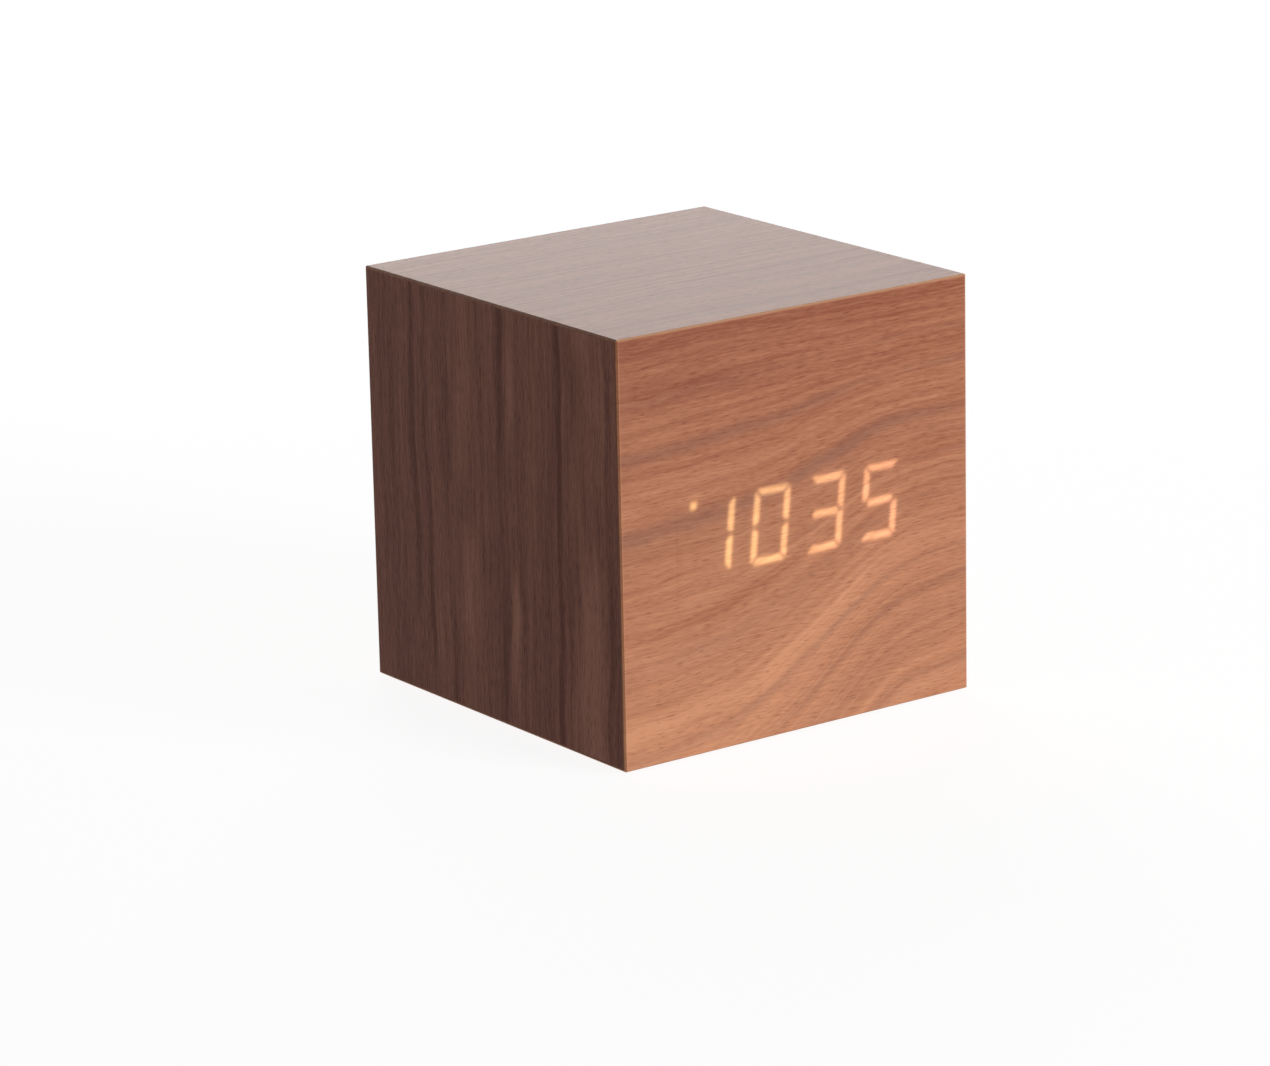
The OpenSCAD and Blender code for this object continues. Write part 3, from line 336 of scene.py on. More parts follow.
# Injection-moulded plastic: the mould's fine spark texture breaks up the gloss, and slight flow
# marks change the tone. The grit, given with its depth in mm, is drawn at a size that shows.
def moulded(name, tint, grit, depth, rough, mottle=0.12):
    material, tree, shader = begin(name, IOR=1.5)
    point = add(tree, "ShaderNodeTexCoord").outputs["Object"]
    speck = add(tree, "ShaderNodeTexNoise", point, Scale=1 / (grit * MM), Detail=2.0, Roughness=0.6)
    flow = add(
        tree, "ShaderNodeTexNoise", point, Scale=1 / (9 * MM), Detail=2.0, Roughness=0.5, Distortion=1.0
    )
    tone = add(tree, "ShaderNodeMath", speck, flow, operation="ADD")
    tone = add(tree, "ShaderNodeMapRange", tone, *TWO_NOISES, 1 - mottle, 1 + mottle)
    shaded = add(tree, "ShaderNodeVectorMath", tint, Scale=tone, operation="SCALE")
    gloss = add(tree, "ShaderNodeMapRange", speck, *NOISE, rough - 0.06, rough + 0.08)
    bump = add(tree, "ShaderNodeBump", Strength=0.5, Distance=depth * MM, Height=speck)
    feed(tree, shader, {"Base Color": shaded, "Roughness": gloss, "Normal": bump})
    return material


# Plated or rolled metal: fine lines from rolling or turning run one way, and the plating clouds
# slightly. The size of a line is given along each axis, in mm.
def plated(name, tint, rough, lines):
    material, tree, shader = begin(name, Metallic=1.0)
    point = add(tree, "ShaderNodeTexCoord").outputs["Object"]
    scale = [1 / (size * MM) for size in lines]
    stretched = add(tree, "ShaderNodeVectorMath", point, scale, operation="MULTIPLY")
    line = add(tree, "ShaderNodeTexNoise", stretched, Scale=1.0, Detail=2.0, Roughness=0.5)
    cloud = add(tree, "ShaderNodeTexNoise", point, Scale=1 / (2.5 * MM), Detail=2.0, Roughness=0.5)
    tone = add(tree, "ShaderNodeMath", line, cloud, operation="ADD")
    tone = add(tree, "ShaderNodeMapRange", tone, *TWO_NOISES, 0.82, 1.08)
    shaded = add(tree, "ShaderNodeVectorMath", tint, Scale=tone, operation="SCALE")
    gloss = add(tree, "ShaderNodeMapRange", cloud, *NOISE, rough - 0.08, rough + 0.1)
    bump = add(tree, "ShaderNodeBump", Strength=0.2, Distance=0.004 * MM, Height=line)
    feed(tree, shader, {"Base Color": shaded, "Roughness": gloss, "Normal": bump})
    return material


# Medium density fibreboard, sawn: matt, with pale and dark fibre clumps about a millimetre long.
def fibreboard():
    material, tree, shader = begin("sawn_fibreboard", IOR=1.45, Specular_IOR_Level=0.2, Roughness=0.9)
    point = add(tree, "ShaderNodeTexCoord").outputs["Object"]
    clump = add(tree, "ShaderNodeTexNoise", point, Scale=1 / (1.1 * MM), Detail=4.0, Roughness=0.7)
    dust = add(tree, "ShaderNodeTexNoise", point, Scale=1 / (0.25 * MM), Detail=1.0, Roughness=0.5)
    mixed = add(tree, "ShaderNodeMath", clump, dust, operation="ADD")
    share = add(tree, "ShaderNodeMapRange", mixed, 0.7, 1.3)
    ends = {6: opaque(linear("8C6B49")), 7: opaque(linear("C9A677"))}
    tint = add(tree, "ShaderNodeMix", sockets={0: share, **ends}, data_type="RGBA")
    bump = add(tree, "ShaderNodeBump", Strength=0.6, Distance=0.05 * MM, Height=mixed)
    feed(tree, shader, {"Base Color": tint, "Normal": bump})
    return material


# Glass-epoxy circuit board under green solder mask: copper tracks show as paler lines, about half
# a millimetre wide, through a glossy lacquer.
def circuit_board():
    material, tree, shader = begin(
        "masked_circuit_board", IOR=1.55, Roughness=0.35, Coat_Weight=0.5, Coat_Roughness=0.15
    )
    point = add(tree, "ShaderNodeTexCoord").outputs["Object"]
    cells = add(
        tree, "ShaderNodeTexVoronoi", point, Scale=1 / (4 * MM), Randomness=0.7, feature="DISTANCE_TO_EDGE"
    )
    track = add(tree, "ShaderNodeMapRange", cells, 0.05, 0.09, 1, 0, interpolation_type="SMOOTHSTEP")
    weave = add(tree, "ShaderNodeTexNoise", point, Scale=1 / (0.5 * MM), Detail=1.0, Roughness=0.5)
    share = add(tree, "ShaderNodeMath", weave, 0.3, track, operation="MULTIPLY_ADD")
    ends = {6: opaque(linear("123D22")), 7: opaque(linear("2C6B3B"))}
    tint = add(tree, "ShaderNodeMix", sockets={0: share, **ends}, data_type="RGBA")
    bump = add(tree, "ShaderNodeBump", Strength=0.4, Distance=0.03 * MM, Height=track)
    feed(tree, shader, {"Base Color": tint, "Normal": bump})
    return material


# Cast epoxy lens with white filler: milky, with small bubbles; the lit ones glow from the chip
# beneath.
def cast_lens(name, code, lit=False):
    material, tree, shader = begin(name, IOR=1.53, Roughness=0.25)
    point = add(tree, "ShaderNodeTexCoord").outputs["Object"]
    bubble = add(tree, "ShaderNodeTexVoronoi", point, Scale=1 / (0.4 * MM))
    milk = add(tree, "ShaderNodeMapRange", bubble, 0.1, 0.6, 0.88, 1.0)
    tint = add(tree, "ShaderNodeVectorMath", linear(code), Scale=milk, operation="SCALE")
    feed(tree, shader, {"Base Color": tint})
    if lit:
        feed(tree, shader, {"Emission Color": tint, "Emission Strength": 1.5})
    return material


# From the middle of a cell to where its jacket ends
JACKET_END = (21.2 * MM, 21.4 * MM)


# Shrink film on a steel can: the jacket is glossy with slight creases, and the can's ends are
# bare metal.
def cell_jacket():
    material, tree, shader = begin("cell_shrink_film", IOR=1.5)
    low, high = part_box("battery_cells")
    point = add(tree, "ShaderNodeTexCoord").outputs["Object"]
    axes = add(tree, "ShaderNodeSeparateXYZ", point).outputs
    off = add(tree, "ShaderNodeMath", axes["X"], (low.x + high.x) / 2, operation="SUBTRACT")
    off = add(tree, "ShaderNodeMath", off, operation="ABSOLUTE")
    bare = add(tree, "ShaderNodeMapRange", off, *JACKET_END)
    crease = add(tree, "ShaderNodeTexNoise", point, Scale=1 / (3 * MM), Detail=3.0, Roughness=0.6)
    tone = add(tree, "ShaderNodeMapRange", crease, *NOISE, 0.85, 1.1)
    film = bpy.context.scene.clock_colours.cell_jacket
    film = add(tree, "ShaderNodeVectorMath", film, Scale=tone, operation="SCALE")
    ends = {6: film, 7: opaque(linear("B9B9B4"))}
    tint = add(tree, "ShaderNodeMix", sockets={0: bare, **ends}, data_type="RGBA")
    gloss = add(tree, "ShaderNodeMapRange", crease, *NOISE, 0.32, 0.46)
    bump = add(tree, "ShaderNodeBump", Strength=0.15, Distance=0.05 * MM, Height=crease)
    feed(tree, shader, {"Base Color": tint, "Metallic": bare, "Roughness": gloss, "Normal": bump})
    return material


RIBBON_CORES = 10


# Flat ribbon cable in grey vinyl: round cores side by side make grooves, and the first core is
# red.
def ribbon_vinyl():
    material, tree, shader = begin("ribbon_vinyl", IOR=1.5)
    low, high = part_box("ribbon_cable")
    point = add(tree, "ShaderNodeTexCoord").outputs["Object"]
    axes = add(tree, "ShaderNodeSeparateXYZ", point).outputs
    core = add(tree, "ShaderNodeMapRange", axes["X"], low.x, high.x, 0, RIBBON_CORES)
    round_core = add(tree, "ShaderNodeMath", core, math.pi, operation="MULTIPLY")
    round_core = add(tree, "ShaderNodeMath", round_core, operation="SINE")
    round_core = add(tree, "ShaderNodeMath", round_core, operation="ABSOLUTE")
    first = add(tree, "ShaderNodeMath", core, 1.0, operation="LESS_THAN")
    ends = {6: opaque(linear("9A9A9C")), 7: opaque(linear("A13A32"))}
    tint = add(tree, "ShaderNodeMix", sockets={0: first, **ends}, data_type="RGBA")
    gloss = add(tree, "ShaderNodeMapRange", round_core, 0, 1, 0.6, 0.42)
    bump = add(tree, "ShaderNodeBump", Strength=0.8, Distance=0.2 * MM, Height=round_core)
    feed(tree, shader, {"Base Color": tint, "Roughness": gloss, "Normal": bump})
    return material


def new_tree(name, inputs):
    """An empty Geometry Nodes tree with a geometry socket each way and the named inputs."""
    tree = bpy.data.node_groups.new(name, "GeometryNodeTree")
    tree.interface.new_socket("Geometry", in_out="INPUT", socket_type="NodeSocketGeometry")
    for label, kind in inputs.items():
        tree.interface.new_socket(label, in_out="INPUT", socket_type="NodeSocket" + kind)
    tree.interface.new_socket("Geometry", in_out="OUTPUT", socket_type="NodeSocketGeometry")
    return tree, add(tree, "NodeGroupInput").outputs


def grow(name, tree, base, values):
    """Runs a tree on a base mesh and gives its result as a plain mesh object at the origin."""
    start = bpy.data.objects.new(name + "_start", base)
    bpy.context.scene.collection.objects.link(start)
    modifier = start.modifiers.new("grow", "NODES")
    modifier.node_group = tree
    for item in tree.interface.items_tree:
        if item.in_out == "INPUT" and item.name in values:
            modifier[item.identifier] = values[item.name]
    graph = bpy.context.evaluated_depsgraph_get()
    mesh = bpy.data.meshes.new_from_object(
        start.evaluated_get(graph), preserve_all_data_layers=True, depsgraph=graph
    )
    bpy.data.objects.remove(start)
    piece = bpy.data.objects.new(name, mesh)
    bpy.context.scene.collection.objects.link(piece)
    return piece


# Points of a lens closer than this are one, and points this close to its front lie in it
SAME_POINT = 0.001 * MM
SAME_PLANE = 0.01 * MM


def bar_outlines(y, inset):
    """The front face of each lit lens, in the plane y and drawn in all round."""
    copy = bmesh.new()
    copy.from_mesh(NODES["lit_lenses"].data)
    bmesh.ops.remove_doubles(copy, verts=copy.verts, dist=SAME_POINT)
    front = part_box("lit_lenses")[0].y
    away = [v for v in copy.verts if v.co.y > front + SAME_PLANE]
    bmesh.ops.delete(copy, geom=away, context="VERTS")
    bmesh.ops.dissolve_limit(copy, angle_limit=math.radians(1), verts=copy.verts, edges=copy.edges)
    drawn = bmesh.ops.inset_individual(copy, faces=copy.faces, thickness=inset, use_even_offset=True)
    bmesh.ops.delete(copy, geom=drawn["faces"], context="FACES")
    for corner in copy.verts:
        corner.co.y = y
    mesh = bpy.data.meshes.new("bar_outlines")
    copy.to_mesh(mesh)
    copy.free()
    return mesh


def glow_tree():
    """A thin skin of points over shapes of light, each point with its share of their light."""
    tree, given = new_tree("glow_through_veneer", {
        "Size": "Vector", "Columns": "Int", "Rows": "Int", "Centre": "Vector",
        "Fall": "Float", "Spread": "Int", "Haze": "Float", "Material": "Material",
    })
    skin = add(tree, "GeometryNodeMeshCube", given["Size"], given["Columns"], 2, given["Rows"])
    skin = add(tree, "GeometryNodeTransform", skin, Translation=given["Centre"])
    off = add(tree, "GeometryNodeProximity", given["Geometry"], target_element="FACES").outputs["Distance"]
    core = add(
        tree, "ShaderNodeMapRange", off, 0.0, given["Fall"], 1.0, 0.0, interpolation_type="SMOOTHSTEP"
    )
    core = add(tree, "GeometryNodeBlurAttribute", core, Iterations=given["Spread"])
    haze = add(
        tree, "ShaderNodeMapRange", off, 0.0, given["Haze"], 1.0, 0.0, interpolation_type="SMOOTHERSTEP"
    )
    skin = add(tree, "GeometryNodeStoreNamedAttribute", skin, Name="glow", Value=core)
    skin = add(tree, "GeometryNodeStoreNamedAttribute", skin, Name="haze", Value=haze)
    skin = add(tree, "GeometryNodeRealizeInstances", skin)
    skin = add(tree, "GeometryNodeSetMaterial", skin, Material=given["Material"])
    add(tree, "NodeGroupOutput", skin)
    return tree


# How deep the ink sits in a button, so that no gap shows under it
INK_SEAT = 0.01 * MM


def printed(name, outline, button, material):
    """A flat mark of ink on the top of a button, from an outline in x and z about the button's middle."""
    sizes = bpy.context.scene.clock_sizes
    low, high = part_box(button)
    middle = (low + high) / 2
    made = bmesh.new()
    face = made.faces.new([
        made.verts.new((middle.x + x, high.y - INK_SEAT, middle.z + z)) for x, z in outline
    ])
    made.normal_update()
    if face.normal.y < 0:
        face.normal_flip()
    out = bmesh.ops.extrude_face_region(made, geom=[face])["geom"]
    raised = [v for v in out if isinstance(v, bmesh.types.BMVert)]
    bmesh.ops.translate(made, verts=raised, vec=(0, sizes.mark_ink, 0))
    bmesh.ops.recalc_face_normals(made, faces=made.faces)
    mesh = bpy.data.meshes.new(name)
    made.to_mesh(mesh)
    made.free()
    mesh.materials.append(material)
    piece = bpy.data.objects.new(name, mesh)
    bpy.context.scene.collection.objects.link(piece)
    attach(piece, button)
    return piece


# The wood of each face. A streak has a place, a half width and a depth, and is pale where its
# depth is less than 0. Most are streaks of growth; a few broad ones on the front are painted light
# and shade. The places are in mm, from the floor at the left end of the front, and from the middle
# elsewhere.
WOODS = {
    "front": {
        "along": "X", "across": "Z", "seed": 1.0, "shade": (0.23, 0.86), "rise": 29 * MM, "squeeze": 0.38,
        # The front's upper edge carries a painted highlight
        "veined": True, "upper_highlight": 0.5,
        "streaks": (
            # The broad pale streak at 5.0 lightens the front low at the left, and the broad dark one at
            # -20.0 darkens it low at the right: painted light and painted shade
            (68.5, 1.3, 0.1), (61.0, 1.6, -0.08), (58.6, 2.0, 0.18), (48.5, 2.6, -0.11), (44.2, 3.0, 0.27),
            (39.0, 6.0, 0.08), (31.0, 2.0, 0.08), (19.0, 4.0, 0.14), (7.0, 2.6, -0.17), (5.0, 10.0, -0.22),
            (1.4, 2.2, 0.22), (-8.0, 3.6, 0.18), (-20.0, 11.0, 0.1), (-35.0, 6.0, 0.15),
        ),
    },
    "left": {
        # Its tones carry the colour cast of its shade, painted in
        "along": "Z", "across": "Y", "seed": 3.0, "shade": (0.66, 0.54), "contrast": 1.15, "kind": "shade_tinted",
        "fade": (0.0, 1.6),
        "streaks": (
            # The broad pale streak at -30.0 lightens the face towards its front edge
            (25.3, 1.9, 0.27), (20.9, 1.6, 0.24), (13.8, 1.5, 0.25), (8.4, 5.0, -0.26), (-3.4, 2.0, 0.3),
            (-6.7, 2.0, -0.48), (-21.3, 1.4, 0.33), (-30.0, 12.0, -0.28), (-36.4, 1.5, 0.3),
        ),
    },
    "right": {
        "along": "Z", "across": "Y", "seed": 7.0, "shade": (0.62, 0.56), "contrast": 1.1,
        "streaks": (
            (-24.0, 1.6, 0.3), (-9.0, 3.5, -0.2), (2.5, 1.3, 0.3), (17.0, 2.4, -0.4), (20.5, 1.2, 0.3),
        ),
    },
    "top": {
        "along": "X", "across": "Y", "seed": 11.0, "shade": (0.5, 0.5), "contrast": 1.0, "sheen": 0.25,
        "rub_and_highlight": 0.1,
        "streaks": (
            (-1.8, 1.0, 0.3), (-10.7, 0.9, 0.26), (-16.0, 0.8, 0.2), (-23.0, 2.5, -0.14), (-32.4, 1.2, 0.22),
            (12.0, 0.9, 0.16),
        ),
    },
    "bottom": {"along": "X", "across": "Y", "seed": 13.0, "shade": (0.55, 0.55)},
    "back": {
        "along": "X", "across": "Z", "seed": 17.0, "shade": (0.4, 0.6), "rise": -18 * MM, "squeeze": -0.2,
    },
}


class CLOCK_OT_veneers(bpy.types.Operator):
    """Walnut on the six faces of the case, and fibreboard under it"""
    bl_idname = "clock.veneers"
    bl_label = "Veneers"

    def execute(self, context):
        for face, wood in WOODS.items():
            dress(walnut("walnut_" + face, **wood), face + "_veneer")
        dress(
            fibreboard(), "case_top_board", "case_bottom_board", "case_left_board", "case_right_board",
            "front_board", "back_board",
        )
        return {"FINISHED"}


# The skin of light: its thickness, how far it reaches past the lenses, and how much one round of
# blurring widens the light, as a share of the points' spacing squared
GLOW_SKIN = 0.03 * MM
GLOW_MARGIN = 3 * MM
BLUR_PER_ROUND = 0.4


class CLOCK_OT_display(bpy.types.Operator):
    """The light of the figures in the front veneer, and the display behind it"""
    bl_idname = "clock.display"
    bl_label = "Display"

    def execute(self, context):
        sizes = context.scene.clock_sizes
        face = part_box("front_veneer")[0].y
        front = face - GLOW_SKIN / 2
        low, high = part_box("lit_lenses")
        wide = high.x - low.x + 2 * GLOW_MARGIN
        tall = high.z - low.z + 2 * GLOW_MARGIN
        glow = grow("lit_figures", glow_tree(), bar_outlines(front, sizes.glow_inset), {
            "Size": (wide, GLOW_SKIN, tall),
            "Columns": round(wide / sizes.glow_step) + 1,
            "Rows": round(tall / sizes.glow_step) + 1,
            "Centre": ((low.x + high.x) / 2, face, (low.z + high.z) / 2),
            "Fall": sizes.glow_fall,
            "Spread": round((sizes.glow_spread / sizes.glow_step) ** 2 / BLUR_PER_ROUND),
            "Haze": sizes.glow_haze,
            "Material": walnut("walnut_front_lit", **WOODS["front"], lit=True),
        })
        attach(glow, "case")
        white = moulded(
            "white_polycarbonate", linear("E4E3DD"), grit=0.3, depth=0.01, rough=0.5, mottle=0.03
        )
        dress(white, "display_reflector")
        dress(cast_lens("lit_epoxy_lens", "FFC98A", lit=True), "lit_lenses")
        dress(cast_lens("clear_epoxy_lens", "D2CDBF"), "dark_lenses")
        dress(cast_lens("phosphor_chip", "F0E2A0"), "display_leds")
        return {"FINISHED"}


# Sizes in mm, along each axis, of the lines that rolling, turning, wire drawing and stamping
# leave on metal
ROLLED = (5 / 3, 1 / 4, 1 / 4)
TURNED = (1 / 3, 1 / 3, 5 / 3)
DRAWN = (1 / 2, 1 / 2, 1 / 2)
STAMPED = (5 / 3, 1 / 4, 5 / 3)


class CLOCK_OT_electronics(bpy.types.Operator):
    """Circuit boards and what stands on them"""
    bl_idname = "clock.electronics"
    bl_label = "Electronics"

    def execute(self, context):
        nickel = plated("nickel_plate", linear("C2C0BA"), rough=0.28, lines=ROLLED)
        zinc = plated("zinc_plate", linear("97989B"), rough=0.38, lines=TURNED)
        bronze = plated("phosphor_bronze", linear("C99A55"), rough=0.3, lines=ROLLED)
        nylon = moulded("white_nylon", linear("DAD6C8"), grit=0.4, depth=0.01, rough=0.5, mottle=0.04)
        black = moulded(
            "black_moulding_compound", linear("1C1C1E"), grit=0.25, depth=0.02, rough=0.6, mottle=0.15
        )
        dark = moulded("dark_glass_nylon", linear("2B2C2E"), grit=0.5, depth=0.02, rough=0.5, mottle=0.15)
        dress(circuit_board(), "main_board", "control_board")
        dress(nylon, "board_spacers", "ribbon_headers")
        dress(
            zinc, "main_board_screws", "control_board_screws", "control_plate_screws", "battery_box_screws"
        )
        dress(black, "clock_chip", "alarm_sounder", "switch_bodies")
        dress(dark, "coin_holder", "usb_tongue")
        dress(nickel, "timing_crystal", "coin_cell", "usb_shell")
        dress(bronze, "coin_clip")
        dress(ribbon_vinyl(), "ribbon_cable")
        return {"FINISHED"}


# The dot on the set button: its sides, and its size as a share of the arrows'
DOT_SIDES = 32
DOT_SHARE = 0.55


class CLOCK_OT_controls(bpy.types.Operator):
    """The plate at the back, its buttons and their printed marks"""
    bl_idname = "clock.controls"
    bl_label = "Rear controls"

    def execute(self, context):
        colours = context.scene.clock_colours
        reach = context.scene.clock_sizes.mark_size / 2
        spark = moulded(
            "black_spark_abs", colours.black_plastic, grit=0.5, depth=0.07, rough=0.5, mottle=0.3
        )
        satin = moulded("satin_black_abs", colours.button_plastic, grit=0.5, depth=0.008, rough=0.36)
        acetal = moulded("white_acetal", linear("DCD8CC"), grit=0.4, depth=0.006, rough=0.4, mottle=0.04)
        ink = moulded("white_pad_ink", colours.mark_ink, grit=0.2, depth=0.004, rough=0.55, mottle=0.06)
        dress(spark, "control_plate")
        dress(satin, "set_button", "up_button", "down_button")
        dress(acetal, "set_plunger", "up_plunger", "down_plunger")
        turns = [2 * math.pi * k / DOT_SIDES for k in range(DOT_SIDES)]
        dot = [(DOT_SHARE * reach * math.cos(a), DOT_SHARE * reach * math.sin(a)) for a in turns]
        thirds = [2 * math.pi * k / 3 for k in range(3)]
        arrow = [(reach * math.sin(a), reach * math.cos(a)) for a in thirds]
        for name, outline in (("set", dot), ("up", arrow), ("down", [(x, -z) for x, z in arrow])):
            printed(name + "_mark", outline, name + "_button", ink)
        return {"FINISHED"}


class CLOCK_OT_battery(bpy.types.Operator):
    """The battery box with its cells, contacts and door"""
    bl_idname = "clock.battery"
    bl_label = "Battery compartment"

    def execute(self, context):
        black = context.scene.clock_colours.black_plastic
        case = moulded("black_battery_abs", black, grit=0.55, depth=0.07, rough=0.48, mottle=0.3)
        spring = plated("nickel_spring_wire", linear("C6C4BE"), rough=0.25, lines=DRAWN)
        strip = plated("nickel_strip", linear("BDBBB4"), rough=0.3, lines=STAMPED)
        dress(case, "battery_box", "battery_door")
        dress(cell_jacket(), "battery_cells")
        dress(spring, "battery_springs")
        dress(strip, "battery_plates")
        for tone, code in (("red", "8E1F1A"), ("black", "1B1B1C")):
            vinyl = moulded(tone + "_vinyl", linear(code), grit=0.3, depth=0.004, rough=0.4)
            dress(vinyl, "battery_lead_" + tone)
        return {"FINISHED"}


class CLOCK_OT_feet(bpy.types.Operator):
    """Rubber on the four feet"""
    bl_idname = "clock.feet"
    bl_label = "Feet"

    def execute(self, context):
        tint = context.scene.clock_colours.foot_rubber
        rubber = moulded("moulded_rubber", tint, grit=0.5, depth=0.03, rough=0.78, mottle=0.18)
        dress(rubber, "rubber_feet")
        return {"FINISHED"}


def seen_directly(tree):
    """1 for what the camera sees straight, in a mirror or through glass, and 0 for light on matt
    surfaces."""
    path = add(tree, "ShaderNodeLightPath").outputs
    seen = add(tree, "ShaderNodeMath", path["Is Camera Ray"], path["Is Glossy Ray"], operation="MAXIMUM")
    return add(tree, "ShaderNodeMath", seen, path["Is Transmission Ray"], operation="MAXIMUM")


# The floor: half its width in metres, its gap under the feet, the tone that keeps the clock's
# shadow, how bright it is where it is seen, and the light that it gives back to the clock, as a
# share of the fill
FLOOR_REACH = 3.0
FLOOR_GAP = 0.05 * MM
FLOOR_TONE = "959595"
FLOOR_GLOW = 0.9
FLOOR_BOUNCE = 1.5
WHITE = opaque(linear("FFFFFF"))


def pale_floor(level, fill):
    """A floor that is white where it is seen, keeps the clock's shadow, and is open from below."""
    made = bmesh.new()
    bmesh.ops.create_grid(made, x_segments=1, y_segments=1, size=FLOOR_REACH)
    bmesh.ops.translate(made, verts=made.verts, vec=(0, 0, level))
    mesh = bpy.data.meshes.new("floor")
    made.to_mesh(mesh)
    made.free()
    floor = bpy.data.objects.new("floor", mesh)
    bpy.context.scene.collection.objects.link(floor)
    material = bpy.data.materials.new("pale_floor")
    material.use_nodes = True
    tree = material.node_tree
    tree.nodes.clear()
    matt = add(tree, "ShaderNodeBsdfDiffuse", opaque(linear(FLOOR_TONE)))
    pale = add(tree, "ShaderNodeEmission", WHITE, FLOOR_GLOW)
    shown = add(tree, "ShaderNodeAddShader", matt, pale)
    bounce = add(tree, "ShaderNodeEmission", WHITE, FLOOR_BOUNCE * fill)
    open_below = add(tree, "ShaderNodeBsdfTransparent")
    mixed = add(tree, "ShaderNodeMixShader", seen_directly(tree), bounce, shown)
    shadow = add(tree, "ShaderNodeLightPath").outputs["Is Shadow Ray"]
    below = add(tree, "ShaderNodeNewGeometry").outputs["Backfacing"]
    clear = add(tree, "ShaderNodeMath", shadow, below, operation="MAXIMUM")
    mixed = add(tree, "ShaderNodeMixShader", clear, mixed, open_below)
    add(tree, "ShaderNodeOutputMaterial", mixed)
    mesh.materials.append(material)
    return floor


def white_studio(fill):
    """Surroundings that are white where they are seen, and light the clock only by the fill."""
    world = bpy.data.worlds.new("white_studio")
    bpy.context.scene.world = world
    world.use_nodes = True
    tree = world.node_tree
    tree.nodes.clear()
    strength = add(tree, "ShaderNodeMapRange", seen_directly(tree), 0, 1, fill, 1)
    around = add(tree, "ShaderNodeBackground", WHITE, strength)
    add(tree, "ShaderNodeOutputWorld", around)


# Width, height and place of the lamps, in metres. The key stands low at the front right, so the
# left side stays in shade, and the top mirrors the softbox behind.
LAMPS = {
    "key": (0.5, 0.4, (0.4, -1.0, 0.12)),
    "back": (1.3, 0.55, (0.42, 1.1, 0.34)),
    "under": (0.8, 0.8, (0.0, 0.0, -0.7)),
}


def lamp(name, watts, wide, tall, place, target):
    """A soft rectangular lamp at a place, turned to a target."""
    data = bpy.data.lights.new(name, "AREA")
    data.shape = "RECTANGLE"
    data.energy = watts
    data.size = wide
    data.size_y = tall
    made = bpy.data.objects.new(name, data)
    made.location = place
    made.rotation_euler = (Vector(target) - Vector(place)).to_track_quat("-Z", "Y").to_euler()
    bpy.context.scene.collection.objects.link(made)


# The camera, measured from the corners of the cube in the photograph: the way from the case's
# middle to it, its roll, how far off it stands, how far it is moved left and down from there, and
# its lens
CAMERA_AZIMUTH = math.radians(-36.019)
CAMERA_ELEVATION = math.radians(15.617)
CAMERA_ROLL = math.radians(-1.222)
CAMERA_DISTANCE = 976.65 * MM
CAMERA_LEFT = 6.006 * MM
CAMERA_DOWN = 10.523 * MM
SENSOR_WIDTH_MM = 36.0
LENS_MM = 147.14


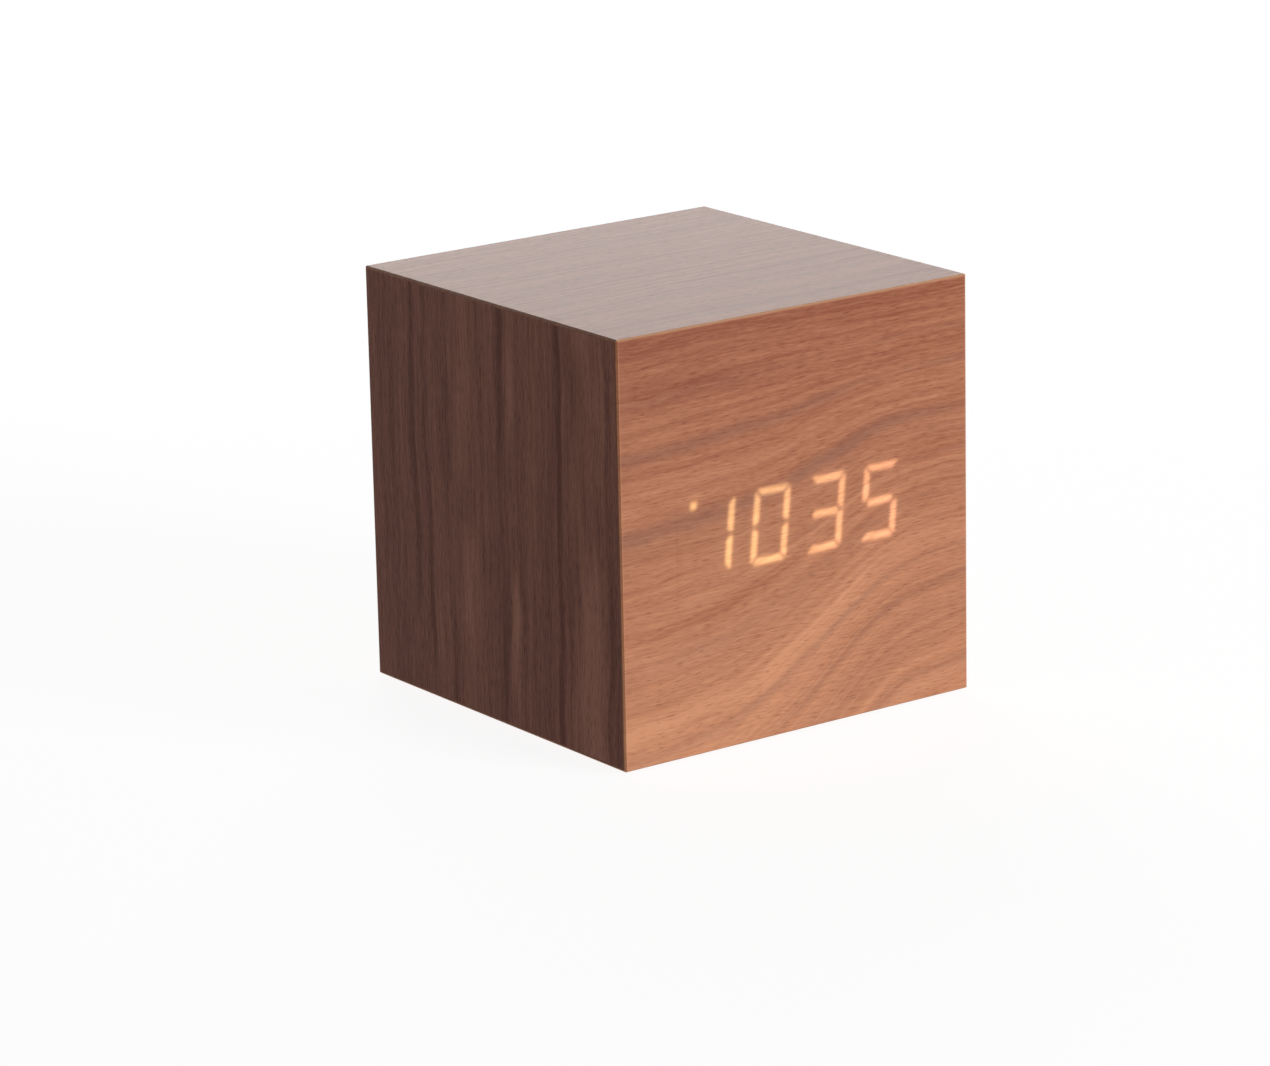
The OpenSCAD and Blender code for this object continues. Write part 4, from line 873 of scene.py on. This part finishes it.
def camera_of_photograph():
    """The camera at the photograph's viewing angle."""
    level = math.cos(CAMERA_ELEVATION)
    back = Vector((
        math.sin(CAMERA_AZIMUTH) * level, -math.cos(CAMERA_AZIMUTH) * level, math.sin(CAMERA_ELEVATION)
    ))
    right = Vector((math.cos(CAMERA_AZIMUTH), math.sin(CAMERA_AZIMUTH), 0))
    up = back.cross(right)
    across = math.cos(CAMERA_ROLL) * right + math.sin(CAMERA_ROLL) * up
    upright = math.cos(CAMERA_ROLL) * up - math.sin(CAMERA_ROLL) * right
    case_middle = (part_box("front_veneer")[0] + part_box("back_veneer")[1]) / 2
    place = case_middle + back * CAMERA_DISTANCE - across * CAMERA_LEFT - upright * CAMERA_DOWN
    data = bpy.data.cameras.new("camera")
    data.sensor_width = SENSOR_WIDTH_MM
    data.lens = LENS_MM
    camera = bpy.data.objects.new("camera", data)
    turned = Matrix((across, upright, back)).transposed().to_4x4()
    camera.matrix_world = Matrix.Translation(place) @ turned
    bpy.context.scene.collection.objects.link(camera)
    return camera


class CLOCK_OT_stage(bpy.types.Operator):
    """Floor, lamps, white surroundings and the camera"""
    bl_idname = "clock.stage"
    bl_label = "Stage"

    def execute(self, context):
        scene = context.scene
        levels = scene.clock_stage
        scene.view_settings.view_transform = "Standard"
        low, high = CAD_BOX
        floor = pale_floor(low.z - FLOOR_GAP, levels.fill)
        white_studio(levels.fill)
        for name, (wide, tall, place) in LAMPS.items():
            lamp(name + "_lamp", getattr(levels, name), wide, tall, place, (low + high) / 2)
        scene.camera = camera_of_photograph()
        return {"FINISHED"}


OPERATORS = (
    CLOCK_OT_veneers, CLOCK_OT_display, CLOCK_OT_electronics, CLOCK_OT_controls, CLOCK_OT_battery,
    CLOCK_OT_feet, CLOCK_OT_stage,
)
GROUPS = {"clock_sizes": ClockSizes, "clock_colours": ClockColours, "clock_stage": ClockStage}


class CLOCK_PT_sidebar(bpy.types.Panel):
    """Sizes, colours and lamps, and a button for each operator"""
    bl_label = "Walnut cube clock"
    bl_space_type = "VIEW_3D"
    bl_region_type = "UI"
    bl_category = "Clock"

    def draw(self, context):
        for name, group in GROUPS.items():
            box = self.layout.box()
            for field in group.__annotations__:
                box.prop(getattr(context.scene, name), field)
        for operator in OPERATORS:
            self.layout.operator(operator.bl_idname)


def register():
    for cls in (*GROUPS.values(), *OPERATORS, CLOCK_PT_sidebar):
        bpy.utils.register_class(cls)
    for name, group in GROUPS.items():
        setattr(bpy.types.Scene, name, bpy.props.PointerProperty(type=group))


def unregister():
    for name in GROUPS:
        delattr(bpy.types.Scene, name)
    for cls in (CLOCK_PT_sidebar, *reversed(OPERATORS), *GROUPS.values()):
        bpy.utils.unregister_class(cls)


def main():
    register()
    bpy.ops.clock.veneers()
    bpy.ops.clock.display()
    bpy.ops.clock.electronics()
    bpy.ops.clock.controls()
    bpy.ops.clock.battery()
    bpy.ops.clock.feet()
    bpy.ops.clock.stage()


if __name__ == "__main__":
    main()
